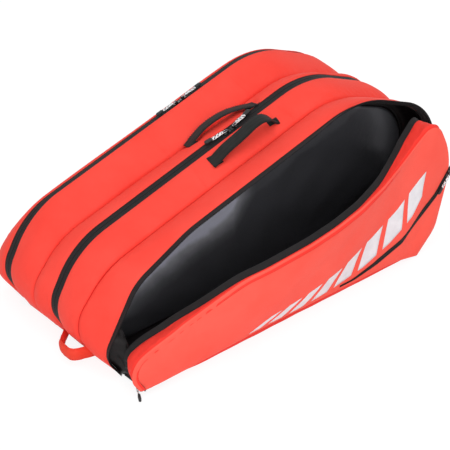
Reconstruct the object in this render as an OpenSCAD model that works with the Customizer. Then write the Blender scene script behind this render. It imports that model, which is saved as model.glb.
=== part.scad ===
// Three-compartment racket tournament bag, standing on its base panel.
// X runs from the narrow handle end (-X) to the wide head end (+X), -Y is the open front side, +Z is up.

/* [Compartments] */
// Distance between the zips of neighbouring compartments
compartment_pitch = 146; // [136:1:156]
// Distance from the middle zip to the outer face of each side panel
side_y = 212; // [206:1:222]
// Thickness of the padded dividers
divider_t = 4; // [3:0.5:6]
// Thickness of the padded gusset cloth
gusset_t = 3.5; // [2.5:0.5:4]
// Thickness of the side panels
panel_t = 5; // [4:0.5:6]

/* [Base] */
// Thickness of the padded base
base_t = 14; // [13:0.5:16]
// Depth of the troughs that the shoulder straps lie in
strap_trough = 10.5; // [10:0.5:11]

/* [Zips] */
// Half the width of the zip tape that shows
tape_half = 11; // [9:0.5:12]
// Half the slit between the two rows of teeth
slit_half = 1.2; // [1.1:0.1:1.5]
// Thickness of the zip tape
tape_t = 1.4; // [1:0.1:1.6]
// How far the rear zip leans outwards, in degrees
rear_zip_tilt = 20; // [0:1:28]
// Where the paired sliders meet, along the bag
slider_meet_x = 5; // [-10:1:15]

/* [Carry handles] */
// Distance between the sewn ends of a carry handle
handle_span = 148; // [140:2:154]
// Height of the handle's arch
handle_rise = 38; // [34:1:44]
// Width of the handle webbing
handle_w = 28; // [24:1:32]
// How far the front handle flops forward, in degrees
front_handle_lean = 12; // [0:1:30]
// How far the rear handle flops back, in degrees
rear_handle_lean = 20; // [5:1:35]

/* [Hidden] */

cloth_red = [1, 0.33, 0.28];
tape_black = [0.17, 0.17, 0.17];
metal_black = [0.1, 0.1, 0.1];
foil_grey = [0.5, 0.5, 0.54];
woven_white = [0.9, 0.9, 0.9];

gap = 0.3;
// Between a gusset's edge and its zip tape.
sewn_gap = 1.3;
stations = 46;
foot_z = base_t + 0.1;
flap_foot_z = base_t + 0.6;
// The creases lie where the dividers are, a little to the front of halfway between the zips.
crease_y = [-compartment_pitch / 2, compartment_pitch / 2 - 13];
crease_clear = divider_t / 2 + gap;
rear_crease_drop = 9;
base_x = [-356, 302];

// Outlines in X-Z, from the foot of the handle end over the top to the foot of the head end: [x, z, radius].
zip_corners = [[-358, foot_z, 0], [-400, 104, 70], [-345, 186, 150], [185, 344, 190],
    [384, 262, 130], [390, 116, 150], [304, foot_z, 0]];
// The crease between two compartments; drop lowers it along the top.
function seam_corners(drop) = [[-360, foot_z, 0], [-402, 92, 70], [-336, 172 - drop / 3, 140],
    [184, 325 - drop, 185], [378, 250, 112], [388, 120, 120], [306, foot_z, 0]];
side_corners = [[-352, foot_z, 0], [-384, 66, 50], [-338, 122, 100], [180, 270, 170],
    [345, 250, 95], [368, 120, 130], [300, foot_z, 0]];
// The open flap has slumped, so its upper edge lies lower along the middle.
flap_corners = [[-363, flap_foot_z + 4, 0], [-402, 56, 28], [-312, 84, 60], [-210, 178, 80], [140, 228, 300],
    [330, 288, 42], [382, 150, 100], [342, 50, 60], [299, flap_foot_z + 4, 0]];

function unit(v) = v / norm(v);
function xz(corner) = [corner[0], corner[1]];

// The arc that rounds corner b between a and c.
function corner_arc(a, b, c, r) =
    let (u = unit(a - b), w = unit(c - b), half = acos(u * w) / 2,
        centre = b + unit(u + w) * r / sin(half),
        from = b + u * r / tan(half) - centre, to = b + w * r / tan(half) - centre,
        a0 = atan2(from[1], from[0]), raw = atan2(to[1], to[0]) - a0,
        turn = raw > 180 ? raw - 360 : raw < -180 ? raw + 360 : raw,
        steps = ceil(abs(turn) / 8))
    [for (i = [0:steps]) centre + r * [cos(a0 + turn * i / steps), sin(a0 + turn * i / steps)]];

// An open outline with its inner corners rounded.
function outline(c) = concat([xz(c[0])],
    [for (i = [1:len(c) - 2]) each corner_arc(xz(c[i - 1]), xz(c[i]), xz(c[i + 1]), c[i][2])],
    [xz(c[len(c) - 1])]);

// Running length at each point of a path.
function lengths(p) =
    [for (i = 0, s = 0; i < len(p); s = s + (i + 1 < len(p) ? norm(p[i + 1] - p[i]) : 0), i = i + 1) s];

// The path again as n points spaced evenly along it.
function even(p, n) =
    let (s = lengths(p), total = s[len(s) - 1], axes = [0:len(p[0]) - 1],
        tables = [for (k = axes) [for (j = [0:len(p) - 1]) [s[j], p[j][k]]]])
    [for (i = [0:n - 1]) [for (k = axes) lookup(total * i / (n - 1), tables[k])]];

// Outward normals of a path in X-Z that runs over the top from -X to +X.
function normals(p) =
    [for (i = [0:len(p) - 1]) let (d = unit(p[min(i + 1, len(p) - 1)] - p[max(i - 1, 0)])) [-d[1], d[0]]];

// A thin closed band between depth a and depth b under a path, trimmed level at its feet.
function band(p, a, b) =
    let (n = normals(p), last = len(p) - 1)
    concat([for (i = [0:last]) p[i] - n[i] * a], [for (i = [last:-1:0]) p[i] - n[i] * b]);

// A prism of an X-Z outline between two values of Y.
module slab(outline_xz, y0, y1)
    translate([0, y1, 0]) rotate([90, 0, 0]) linear_extrude(y1 - y0) polygon(outline_xz);

function at_y(v, y) = [for (q = v) [q[0], y, q[1]]];

// Outward normals of a skin between rails a and b; side is 1 or -1 and picks the outer face.
function skin_normals(a, b, side) = let (last = len(a) - 1) [for (i = [0:last])
    let (along = a[min(i + 1, last)] - a[max(i - 1, 0)] + b[min(i + 1, last)] - b[max(i - 1, 0)])
    side * unit(cross(along, b[i] - a[i]))];
// A skin of thickness t between the rails, swollen by up to swell, its outer face sunk by depth.
module skin(a, b, swell, t, steps, side = 1, depth = 0) {
    last = len(a) - 1;
    ring = 2 * (steps + 1);
    normal = skin_normals(a, b, side);
    lift = [for (i = [0:last]) swell * min(1, i / 3, (last - i) / 3)];
    points = [for (i = [0:last]) each concat(
        [for (k = [0:steps]) let (f = k / steps)
            a[i] + (b[i] - a[i]) * f + normal[i] * (lift[i] * 4 * f * (1 - f) - depth)],
        [for (k = [steps:-1:0]) let (f = k / steps)
            a[i] + (b[i] - a[i]) * f + normal[i] * (lift[i] * 4 * f * (1 - f) - depth - t)])];
    walls = [for (i = [0:last - 1], k = [0:ring - 1])
        let (p = i * ring + k, q = i * ring + (k + 1) % ring) each
        [[p, q + ring, q], [p, p + ring, q + ring]]];
    ends = [for (e = [0, last], k = [0:steps - 1])
        let (p = e * ring + k, m = e * ring + ring - 1 - k) each
        e == 0 ? [[p, m - 1, m], [p, p + 1, m - 1]] : [[p, m, m - 1], [p, m - 1, p + 1]]];
    faces = concat(walls, ends);
    polyhedron(points, side < 0 ? faces : [for (f = faces) [f[2], f[1], f[0]]]);
}

zip_path = outline(zip_corners);
zip_rail = even(zip_path, stations);
zip_n = normals(zip_rail);
front_seam_path = outline(seam_corners(0));
front_seam = even(front_seam_path, stations);
rear_seam_path = outline(seam_corners(rear_crease_drop));
rear_seam = even(rear_seam_path, stations);
side_rail = even(outline(side_corners), stations);
flap_rail = even(outline(flap_corners), stations);
flap_n = normals(flap_rail);

// How far the rear zip leans at station x: least at the two ends.
function tilt_at(x) = rear_zip_tilt * lookup(x, [[-385, 0.1], [-292, 1], [122, 1], [300, 0.45], [385, 0.1]]);
// The line at distance d from the middle of a zip, sunk by depth.
function tape_line(y, d, leans = false, depth = 0) =
    [for (i = [0:stations - 1])
        let (q = zip_rail[i], a = leans ? tilt_at(q[0]) : 0, up = -d * sin(a) - depth * cos(a))
        [q[0] + zip_n[i][0] * up, y + d * cos(a) - depth * sin(a), q[1] + zip_n[i][1] * up]];

function share(i) = i / (stations - 1);
// The flap's upper seam bulges forward along its middle.
function flap_bulge(s) = lookup(s, [[0, 0], [0.1, 4], [0.16, 14], [0.24, 38], [0.32, 54], [0.42, 60],
    [0.5, 54], [0.58, 34], [0.64, 12], [0.7, 0], [1, 0]]);
// The strip between the flap's seam and its zip is folded away along the middle.
function flap_strip(s) = lookup(s, [[0, 53], [0.06, 50], [0.12, 38], [0.18, 20], [0.24, 16], [0.52, 16],
    [0.6, 20], [0.66, 30], [0.7, 44], [0.75, 53], [1, 53]]);
function flap_droop(s) = lookup(s, [[0, 0], [0.1, 8], [0.2, 30], [0.5, 30], [0.62, 34], [0.68, 27], [0.75, 0], [1, 0]]);
function tape_rise(s) = lookup(s, [[0, 0], [0.06, 8], [0.18, 48], [0.62, 48], [0.7, 30], [0.76, 0], [1, 0]]);

// A point carried d inwards from p at station i, at an angle from level towards the outward normal.
function carried(p, i, d, angle) =
    [p[0] + flap_n[i][0] * d * sin(angle), p[1] + d * cos(angle), p[2] + flap_n[i][1] * d * sin(angle)];
flap_seam = [for (i = [0:stations - 1]) [flap_rail[i][0], -side_y - flap_bulge(share(i)), flap_rail[i][1]]];
flap_foot = [for (i = [0:stations - 1]) [-346 + share(i) * 632, -side_y, flap_foot_z]];
flap_panel_n = skin_normals(flap_foot, flap_seam, 1);
// The strip starts at the panel's inner edge, far enough in for its own thickness.
flap_strip_inner = [for (i = [0:stations - 1]) let (droop = flap_droop(share(i)))
    carried(flap_seam[i] - flap_panel_n[i] * panel_t, i, 6.8 + gusset_t * sin(droop), -droop)];
flap_strip_outer = [for (i = [0:stations - 1])
    carried(flap_seam[i], i, flap_strip(share(i)) - gap, -flap_droop(share(i)))];
flap_tape_root = [for (i = [0:stations - 1]) carried(flap_seam[i], i, flap_strip(share(i)), -flap_droop(share(i)))];
flap_tape_edge = [for (i = [0:stations - 1])
    carried(flap_tape_root[i], i, tape_half - slit_half, tape_rise(share(i)))];
flap_inner_line = [for (i = [0:stations - 1]) flap_tape_edge[i] + 2 * unit(flap_tape_root[i] - flap_tape_edge[i])];

function part(v, from, to) = [for (i = [from:to]) v[i]];

// ---- base, panels and dividers ----

module base_panel() color(cloth_red) difference() {
    r = 8;
    half = side_y - 0.5;
    linear_extrude(base_t) union() {
        for (x = [base_x[0] + r, base_x[1] - r], y = [-half + r, half - r]) translate([x, y]) circle(r, $fn = 48);
        translate([base_x[0], -half + r]) square([base_x[1] - base_x[0], 2 * (half - r)]);
        translate([base_x[0] + r, -half]) square([base_x[1] - base_x[0] - 2 * r, 2 * half]);
    }
    for (m = [0, 1]) mirror([0, m, 0]) translate([0, 0, -1]) linear_extrude(strap_trough + 1)
        polygon([[-324, 34], [194, 34], [194, 96], [96, 104], [20, 140], [-20, 148], [-200, 148], [-324, 104]]);
}

module divider(path, y) color(cloth_red) slab(path, y - divider_t / 2, y + divider_t / 2);
module rear_divider() divider(rear_seam_path, crease_y[1]);
module front_divider() divider(front_seam_path, crease_y[0]);

module rear_side_panel() color(cloth_red) slab(outline(side_corners), side_y - panel_t, side_y);

// Foil-faced lining on the front face of the front divider.
module thermal_lining() color(foil_grey)
    slab([for (q = front_seam_path) [q[0] * 0.97, foot_z + (q[1] - foot_z) * 0.965]],
        crease_y[0] - divider_t / 2 - 1, crease_y[0] - divider_t / 2);

// ---- gussets ----

module gusset(a, b, swell, side) color(cloth_red) skin(a, b, swell, gusset_t, 4, side);

module rear_outer_gusset()
    gusset(tape_line(compartment_pitch, tape_half + sewn_gap, true), at_y(side_rail, side_y - panel_t - gap), 6, 1);
module rear_inner_gusset()
    gusset(tape_line(compartment_pitch, -tape_half - sewn_gap, true),
        at_y(rear_seam, crease_y[1] + crease_clear), 5, -1);
module middle_rear_gusset()
    gusset(tape_line(0, tape_half + sewn_gap), at_y(rear_seam, crease_y[1] - crease_clear), 4, 1);
module middle_front_gusset()
    gusset(tape_line(0, -tape_half - sewn_gap), at_y(front_seam, crease_y[0] + crease_clear), 4, -1);
module front_inner_gusset()
    gusset(tape_line(-compartment_pitch, tape_half + sewn_gap),
        at_y(front_seam, crease_y[0] - crease_clear), 4, 1);

// ---- zips ----

module rear_zip_tape() color(tape_black) for (s = [-1, 1])
    skin(tape_line(compartment_pitch, s * slit_half, true), tape_line(compartment_pitch, s * tape_half, true),
        0, tape_t, 1, s);

module middle_zip_tape() color(tape_black) for (m = [0, 1]) mirror([0, m, 0])
    slab(band(zip_path, 0, tape_t), slit_half, tape_half);

module front_inner_zip_tape() color(tape_black)
    slab(band(zip_path, 0, tape_t), -compartment_pitch + slit_half, -compartment_pitch + tape_half);

coil_w = 2;
coil_t = 1.2;
module closed_zip_coils() color(metal_black) {
    for (m = [0, 1]) mirror([0, m, 0])
        slab(band(zip_path, tape_t, tape_t + coil_t), slit_half, slit_half + coil_w);
    for (s = [-1, 1])
        skin(tape_line(compartment_pitch, s * slit_half, true, tape_t + 0.25),
            tape_line(compartment_pitch, s * (slit_half + coil_w), true, tape_t + 0.25), 0, coil_t, 1, s);
}

module front_inner_coil() color(metal_black)
    slab(band(zip_path, tape_t, tape_t + coil_t), -compartment_pitch + slit_half,
        -compartment_pitch + slit_half + coil_w);

// Short lengths of zip round the lower corners of the two ends, where the open zip's sliders are parked.
stub_y = [-203, -148];
head_stub_y = [-144, -89];
parked_y = -186;
head_parked_y = -106;
stub_z = [0.8, 13.2];
stub_middle = (stub_z[0] + stub_z[1]) / 2;
module zip_end_stub(x, ends) translate([x, ends[0], 0]) difference() {
    translate([0, 0, stub_z[0]]) cube([tape_t, ends[1] - ends[0], stub_z[1] - stub_z[0]]);
    translate([-1, 4, stub_middle - slit_half]) cube([tape_t + 2, ends[1] - ends[0] - 8, 2 * slit_half]);
}
module zip_end_stubs() color(tape_black) {
    zip_end_stub(base_x[0] - tape_t, stub_y);
    zip_end_stub(base_x[1], head_stub_y);
}

// A curved zip sewn flat on a side panel, as a band in X-Z standing proud of the plane y = 0 towards -Y.
pocket_corners = [[150, 22, 0], [262, 34, 150], [372, 172, 0]];
pocket_path = outline(pocket_corners);
pocket_zip_w = 9;
pocket_zip_t = 1.6;
module pocket_zip() for (s = [-1, 1])
    slab(band(pocket_path, s * slit_half, s * pocket_zip_w / 2), -pocket_zip_t, 0);
module front_pocket_zip() color(tape_black) translate([0, -side_y, 0]) pocket_zip();
module rear_pocket_zip() color(tape_black) translate([0, side_y, 0]) mirror([0, 1, 0]) pocket_zip();

// ---- the open front flap ----

module front_side_panel() color(cloth_red) skin(flap_foot, flap_seam, 0, panel_t, 6, 1);
module front_outer_gusset() color(cloth_red) skin(flap_strip_inner, flap_strip_outer, 0, gusset_t, 3, 1);
tape_from = 3;
tape_to = stations - 4;
module front_outer_zip_tape() color(tape_black)
    skin(part(flap_tape_root, tape_from, tape_to), part(flap_tape_edge, tape_from, tape_to), 0, tape_t, 2, 1);
module front_outer_coil() color(metal_black)
    skin(part(flap_inner_line, tape_from, tape_to), part(flap_tape_edge, tape_from, tape_to),
        0, 1, 1, 1, tape_t + 0.25);
module flap_lining() color(tape_black)
    skin([for (i = [2:stations - 3]) flap_foot[i] + (flap_seam[i] - flap_foot[i]) * 0.02],
        [for (i = [2:stations - 3]) flap_foot[i] + (flap_seam[i] - flap_foot[i]) * 0.86],
        0, 1, 4, 1, panel_t + 0.8);

// ---- handles ----

slope = atan2(zip_corners[3][1] - zip_corners[2][1], zip_corners[3][0] - zip_corners[2][0]);
function zip_z(x) = zip_corners[2][1] + (x - zip_corners[2][0]) * tan(slope);
// Put children on the straight upper run at x, with X up the slope, rolled about it.
module on_top(x, y, sink, roll, steeper = 0, yaw = 0)
    translate([x, y, zip_z(x) - sink / cos(slope)]) rotate([roll, -slope - steeper, yaw]) children();

handle_t = 3.4;
handle_foot_r = handle_w / 2;
patch_t = 1.6;
tilt_line_z = patch_t + 3 * gap + handle_foot_r;
// An arch of webbing whose feet are round about the line that it tilts on.
module carry_handle(arch) translate([0, 0, -handle_foot_r]) intersection() {
    slab(band(outline(arch), 0, handle_t), -handle_w / 2, handle_w / 2);
    union() {
        translate([-handle_span, -handle_w, handle_foot_r]) cube([2 * handle_span, 2 * handle_w, handle_rise]);
        translate([-handle_span, 0, handle_foot_r]) rotate([0, 90, 0])
            cylinder(h = 2 * handle_span, r = handle_foot_r, $fn = 48);
    }
}
front_arch = [[-handle_span / 2, 0, 0], [handle_span / 2 - 14, handle_rise + 4, 16], [handle_span / 2, 0, 0]];
rear_arch = [[-handle_span / 2, 0, 0], [-handle_span / 3, handle_rise - 8, 50],
    [handle_span / 3 - 8, handle_rise - 6, 40], [handle_span / 2, 0, 0]];
// Where each handle is sewn: the middle between its ends, how far that is below the zip's line, the roll of
// the cloth under it, and how much steeper and more yawed than the bag's upper run it lies.
front_handle = [2, -42.5, 4.9, 16.6, -2.1, -6.8];
rear_handle = [11, 36, 8, -26.8, 3.3, -7];
module handle_line(p) on_top(p[0], p[1], p[2], p[3], p[4], p[5]) translate([0, 0, tilt_line_z]) children();
module front_carry_handle() color(tape_black)
    handle_line(front_handle) rotate([front_handle_lean - front_handle[3], 0, 0]) carry_handle(front_arch);
module rear_carry_handle() color(tape_black)
    handle_line(rear_handle) rotate([-rear_handle_lean - rear_handle[3], 0, 0]) carry_handle(rear_arch);
// The cloth rolls by turn more under one end of a handle than under its middle.
module sewn_end(side, turn) rotate([turn, 0, 0])
    translate([side * (handle_span / 2 - 4) - 17, -handle_w / 2, gap - tilt_line_z]) cube([34, handle_w, patch_t]);
module handle_sewn_ends() color(tape_black) for (s = [-1, 1]) {
    handle_line(front_handle) sewn_end(s, s * 4.7);
    handle_line(rear_handle) sewn_end(s, s * 4.8);
}

// Padded loop low on the handle end; its ends are round about the line that it lifts on.
loop_w = 26;
loop_t = 5;
loop_z = 24;
loop_x = -384;
loop_y = [-84, 10];
loop_reach = 31;
loop_shape = [[loop_y[0], -loop_w / 2, 0], [loop_y[0] + 12, loop_reach, 16], [loop_y[1] - 44, loop_reach, 30],
    [loop_y[1], -loop_w / 2, 0]];
module grab_loop() color(cloth_red) intersection() {
    translate([loop_x, 0, loop_z - loop_w / 2]) rotate([0, 0, 90]) linear_extrude(loop_w)
        polygon(band(outline(loop_shape), 0, loop_t));
    union() {
        translate([loop_x - 60, -150, 0]) cube([60, 250, 60]);
        translate([loop_x, -150, loop_z]) rotate([-90, 0, 0]) cylinder(h = 250, r = loop_w / 2, $fn = 48);
    }
}
// The handle end's wall where it meets height z, at one sewn end: from the zip's line towards the seam's by f.
function wall_x(z, f) = let (foot = zip_corners[0][0] * (1 - f) + seam_corners(0)[0][0] * f,
    lean_zip = (zip_corners[1][0] - zip_corners[0][0]) / (zip_corners[1][1] - foot_z),
    lean_seam = (seam_corners(0)[1][0] - seam_corners(0)[0][0]) / (seam_corners(0)[1][1] - foot_z))
    foot + (z - foot_z) * (lean_zip * (1 - f) + lean_seam * f);
module loop_sewn_ends() color(cloth_red) for (end = [[loop_y[0] + 4, 0.9], [loop_y[1] - 4, 0.1]]) {
    low = loop_z - 7;
    high = loop_z + 5;
    face = loop_x + loop_w / 2 + gap;
    slab([[face, low], [face, high], [wall_x(high, end[1]) - 0.8, high], [wall_x(low, end[1]) - 0.8, low]],
        end[0] - 4, end[0] + 4);
}

// ---- shoulder straps, lying in the troughs of the base ----

strap_w = 56;
strap_t = 8;
strap_z = 1.6;
strap_y = 66;
strap_r = 319;
strap_sag = 46;
strap_mid_x = -128;
strap_half = asin(165 / strap_r);
lock_x = 48;
anchor_x = 193.6;
// Half the pad's outline: its outer edge bows out from the line between its two ends.
function pad_arc(r) = [for (i = [0:24]) let (a = 90 + strap_half - 2 * strap_half * i / 24)
    [strap_mid_x + r * cos(a), strap_y + strap_sag - strap_r + r * sin(a)]];
module strap_pad() translate([0, 0, strap_z]) intersection() {
    linear_extrude(strap_t) polygon(concat(
        [for (a = [80:-20:-80]) [strap_mid_x - 165 - 16 * cos(a), strap_y + 2 + 25 * sin(a)]],
        [for (i = [24:-1:0]) pad_arc(strap_r - strap_w / 2)[24 - i]],
        [for (i = [0:24]) pad_arc(strap_r + strap_w / 2)[24 - i]]));
    translate([-400, 0, -1]) cube([400 + lock_x - 2, 200, strap_t + 2]);
}
module strap_webbing() translate([lock_x + 14 + gap, strap_y - 12.5, strap_z + 3])
    cube([anchor_x - lock_x - 14 - gap, 25, 1.8]);
// Frame buckle that the webbing is threaded through: side rails and three cross bars.
module ladder_lock() translate([lock_x - 1.7, strap_y, strap_z + 1.2]) difference() {
    translate([0, -17, 0]) cube([15.7, 34, 5.4]);
    for (x = [2.6, 9.2]) translate([x, -13.5, -1]) cube([3.8, 27, 8]);
}
module left_strap_pad() color(tape_black) strap_pad();
module left_strap_webbing() color(tape_black) strap_webbing();
module left_ladder_lock() color(metal_black) ladder_lock();
module right_strap_pad() color(tape_black) mirror([0, 1, 0]) strap_pad();
module right_strap_webbing() color(tape_black) mirror([0, 1, 0]) strap_webbing();
module right_ladder_lock() color(metal_black) mirror([0, 1, 0]) ladder_lock();

// ---- zip sliders: X runs along the zip, Z out of it, the pull lies towards -X ----

plate = [15, 10.5, 1.5];
// From a slider's pin to where its nose meets the other slider's, along the bag.
nose = 7.8;
pin_h = 5;
pin_r = 0.9;
module plate_shape() union() {
    translate([-plate[0] / 2 + 2, -plate[1] / 2]) square([plate[0] - 6, plate[1]]);
    translate([-plate[0] / 2, -plate[1] / 2 + 2]) square([plate[0] - 4, plate[1] - 4]);
    for (s = [-1, 1]) translate([-plate[0] / 2 + 2, s * (plate[1] / 2 - 2)]) circle(2, $fn = 24);
    translate([plate[0] / 2 - 4, 0]) intersection() {
        circle(plate[1] / 2, $fn = 40);
        translate([-0.01, -plate[1] / 2]) square([4, plate[1]]);
    }
}
module slider(through) color(metal_black) {
    translate([0, 0, gap]) linear_extrude(plate[2]) plate_shape();
    translate([-3.5, -0.8, -1.2]) cube([7, 1.6, 1.2 + gap]);
    if (through) {
        translate([-3.5, -0.8, -tape_t - coil_t - gap - 1.4]) cube([7, 1.6, tape_t + coil_t + 2 * gap + 1.4]);
        translate([0, 0, -tape_t - coil_t - gap - 1.4]) linear_extrude(1.2) plate_shape();
    }
    for (s = [-1, 1]) translate([-1.9, s * 3.2 - 0.6, gap + plate[2]]) cube([3.8, 1.2, pin_h + 0.8 - gap - plate[2]]);
    translate([0, -3.8, pin_h]) rotate([-90, 0, 0]) cylinder(h = 7.6, r = pin_r, $fn = 24);
}

pull_w = 8;
woven_t = 1.8;
link_len = 9;
tip = [15, 9.5, 5];
// Metal link round the slider's pin, with a woven tape folded through it.
module pull(woven_len) translate([0, 0, pin_h]) difference() {
    union() {
        translate([0, -2.2, 0]) rotate([-90, 0, 0]) cylinder(h = 4.4, r = 2.2, $fn = 24);
        translate([-link_len, -2.2, -0.8]) cube([link_len - 1, 4.4, 1.6]);
        translate([-link_len - woven_len, -pull_w / 2, -woven_t / 2]) cube([woven_len + 1.4, pull_w, woven_t]);
    }
    translate([0, -4, 0]) rotate([-90, 0, 0]) cylinder(h = 8, r = pin_r + gap, $fn = 24);
}
// Moulded rubber tip with round edges and three grip ribs.
module pull_tip(woven_len) translate([-link_len - woven_len, 0, pin_h]) {
    translate([-tip[0] + tip[2] / 2, -tip[1] / 2, -tip[2] / 2]) cube([tip[0] - tip[2] / 2, tip[1], tip[2]]);
    translate([-tip[0] + tip[2] / 2, -tip[1] / 2, 0]) rotate([-90, 0, 0])
        cylinder(h = tip[1], r = tip[2] / 2, $fn = 32);
}
woven_long = 24;
woven_short = 20;

module at_slider(which) {
    if (which == "rear_a") on_top(slider_meet_x - nose, compartment_pitch, 0, -rear_zip_tilt) children();
    if (which == "rear_b") on_top(slider_meet_x + nose, compartment_pitch, 0, -rear_zip_tilt) mirror([1, 0, 0]) children();
    if (which == "middle_a") on_top(slider_meet_x - nose, 0, 0, 0) children();
    if (which == "middle_b") on_top(slider_meet_x + nose, 0, 0, 0) mirror([1, 0, 0]) children();
    if (which == "front_a") translate([base_x[0] - tape_t, parked_y, stub_middle])
        rotate([0, -90, 0]) rotate([0, 0, 90]) children();
    if (which == "front_b") translate([base_x[1] + tape_t, head_parked_y, stub_middle])
        mirror([0, 1, 0]) rotate([0, 90, 0]) rotate([0, 0, 90]) children();
    if (which == "front_pocket") pocket_place() children();
    if (which == "rear_pocket") mirror([0, 1, 0]) pocket_place() children();
}
pocket_end = xz(pocket_corners[2]);
pocket_rise = atan2(pocket_corners[2][1] - pocket_corners[1][1], pocket_corners[2][0] - pocket_corners[1][0]);
module pocket_place() translate([pocket_end[0] - 16 * cos(pocket_rise), -side_y - pocket_zip_t,
    pocket_end[1] - 16 * sin(pocket_rise)]) rotate([90, 0, 0]) rotate([0, 0, pocket_rise]) children();
front_pull_swing = 28;
module swung(angle) translate([0, 0, pin_h]) rotate([0, angle, 0]) translate([0, 0, -pin_h]) children();

module rear_slider_a() at_slider("rear_a") slider(true);
module rear_pull_a() color(woven_white) at_slider("rear_a") pull(woven_long);
module rear_tip_a() color(metal_black) at_slider("rear_a") pull_tip(woven_long);
module rear_slider_b() at_slider("rear_b") slider(true);
module rear_pull_b() color(woven_white) at_slider("rear_b") pull(woven_long);
module rear_tip_b() color(metal_black) at_slider("rear_b") pull_tip(woven_long);
module middle_slider_a() at_slider("middle_a") slider(true);
module middle_pull_a() color(woven_white) at_slider("middle_a") pull(woven_long);
module middle_tip_a() color(metal_black) at_slider("middle_a") pull_tip(woven_long);
module middle_slider_b() at_slider("middle_b") slider(true);
module middle_pull_b() color(woven_white) at_slider("middle_b") pull(woven_long);
module middle_tip_b() color(metal_black) at_slider("middle_b") pull_tip(woven_long);
module front_slider_a() at_slider("front_a") slider(false);
module front_pull_a() color(woven_white) at_slider("front_a") swung(front_pull_swing) pull(woven_short);
module front_tip_a() color(metal_black) at_slider("front_a") swung(front_pull_swing) pull_tip(woven_short);
module front_slider_b() at_slider("front_b") slider(false);
module front_pull_b() color(woven_white) at_slider("front_b") pull(woven_short);
module front_tip_b() color(metal_black) at_slider("front_b") pull_tip(woven_short);
module front_pocket_slider() at_slider("front_pocket") slider(false);
module front_pocket_pull() color(woven_white) at_slider("front_pocket") pull(woven_short);
module front_pocket_tip() color(metal_black) at_slider("front_pocket") pull_tip(woven_short);
module rear_pocket_slider() at_slider("rear_pocket") slider(false);
module rear_pocket_pull() color(woven_white) at_slider("rear_pocket") pull(woven_short);
module rear_pocket_tip() color(metal_black) at_slider("rear_pocket") pull_tip(woven_short);

base_panel();
rear_side_panel();
rear_divider();
front_divider();
rear_outer_gusset();
rear_inner_gusset();
middle_rear_gusset();
middle_front_gusset();
front_inner_gusset();
rear_zip_tape();
middle_zip_tape();
front_inner_zip_tape();
closed_zip_coils();
front_inner_coil();
zip_end_stubs();
thermal_lining();
rear_pocket_zip();
front_side_panel();
front_outer_gusset();
front_outer_zip_tape();
front_outer_coil();
flap_lining();
front_pocket_zip();
front_carry_handle();
rear_carry_handle();
handle_sewn_ends();
grab_loop();
loop_sewn_ends();
left_strap_pad();
left_strap_webbing();
left_ladder_lock();
right_strap_pad();
right_strap_webbing();
right_ladder_lock();
rear_slider_a();
rear_pull_a();
rear_tip_a();
rear_slider_b();
rear_pull_b();
rear_tip_b();
middle_slider_a();
middle_pull_a();
middle_tip_a();
middle_slider_b();
middle_pull_b();
middle_tip_b();
front_slider_a();
front_pull_a();
front_tip_a();
front_slider_b();
front_pull_b();
front_tip_b();
front_pocket_slider();
front_pocket_pull();
front_pocket_tip();
rear_pocket_slider();
rear_pocket_pull();
rear_pocket_tip();
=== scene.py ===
"""Racket tournament bag: three padded compartments side by side, the front one lying open."""
import math
import bmesh
import bpy
import numpy as np
from mathutils import Matrix, Vector
from mathutils.bvhtree import BVHTree


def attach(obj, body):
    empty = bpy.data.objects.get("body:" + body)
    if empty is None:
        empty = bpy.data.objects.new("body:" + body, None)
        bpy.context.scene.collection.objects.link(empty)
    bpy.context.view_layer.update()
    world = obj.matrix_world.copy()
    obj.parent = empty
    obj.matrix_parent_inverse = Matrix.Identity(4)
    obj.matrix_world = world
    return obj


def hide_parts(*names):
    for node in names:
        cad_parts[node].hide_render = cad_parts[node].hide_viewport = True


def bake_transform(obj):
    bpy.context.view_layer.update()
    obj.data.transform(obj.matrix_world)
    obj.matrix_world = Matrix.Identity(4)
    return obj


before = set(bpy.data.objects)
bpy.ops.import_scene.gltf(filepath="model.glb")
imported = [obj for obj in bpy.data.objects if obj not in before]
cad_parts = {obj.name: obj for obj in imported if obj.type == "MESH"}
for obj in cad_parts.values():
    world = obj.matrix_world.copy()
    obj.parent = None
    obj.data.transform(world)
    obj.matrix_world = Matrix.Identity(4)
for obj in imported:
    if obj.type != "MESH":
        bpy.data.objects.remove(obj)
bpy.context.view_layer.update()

MM = 0.001
ALONG_Y, ALONG_Z = (0.0, 1.0, 0.0), (0.0, 0.0, 1.0)

# ---- colours and finishes ----

# A wave texture repeats every 2 pi / 20 units at scale 1, so a pitch of p mm takes 314.16 / p.
WAVES_PER_METRE = 314.16
PER_METRE = 1000.0


def srgb(code):
    """A hex colour as linear RGBA."""
    parts = [int(code[i:i + 2], 16) / 255 for i in (1, 3, 5)]
    return tuple(c / 12.92 if c <= 0.04045 else ((c + 0.055) / 1.055) ** 2.4 for c in parts) + (1.0,)


def add(tree, kind, inputs=None, **settings):
    """A shader node with its settings; a socket among the inputs is linked, any other value is set."""
    made = tree.nodes.new("ShaderNode" + kind)
    for key, value in settings.items():
        setattr(made, key, value)
    for key, value in (inputs or {}).items():
        if isinstance(value, bpy.types.NodeSocket):
            tree.links.new(value, made.inputs[key])
        else:
            made.inputs[key].default_value = value
    return made


def emptied(owner):
    """The node tree of a material or world, emptied."""
    owner.use_nodes = True
    owner.node_tree.nodes.clear()
    return owner.node_tree


def mottle(tree, size_mm, detail=3.0, rough=0.55):
    """Soft cloudy variation of about this size, fixed to the object."""
    place = add(tree, "TexCoord")
    return add(tree, "TexNoise", {0: place.outputs["Object"], "Scale": PER_METRE / size_mm, "Detail": detail,
                                  "Roughness": rough}).outputs[0]


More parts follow.
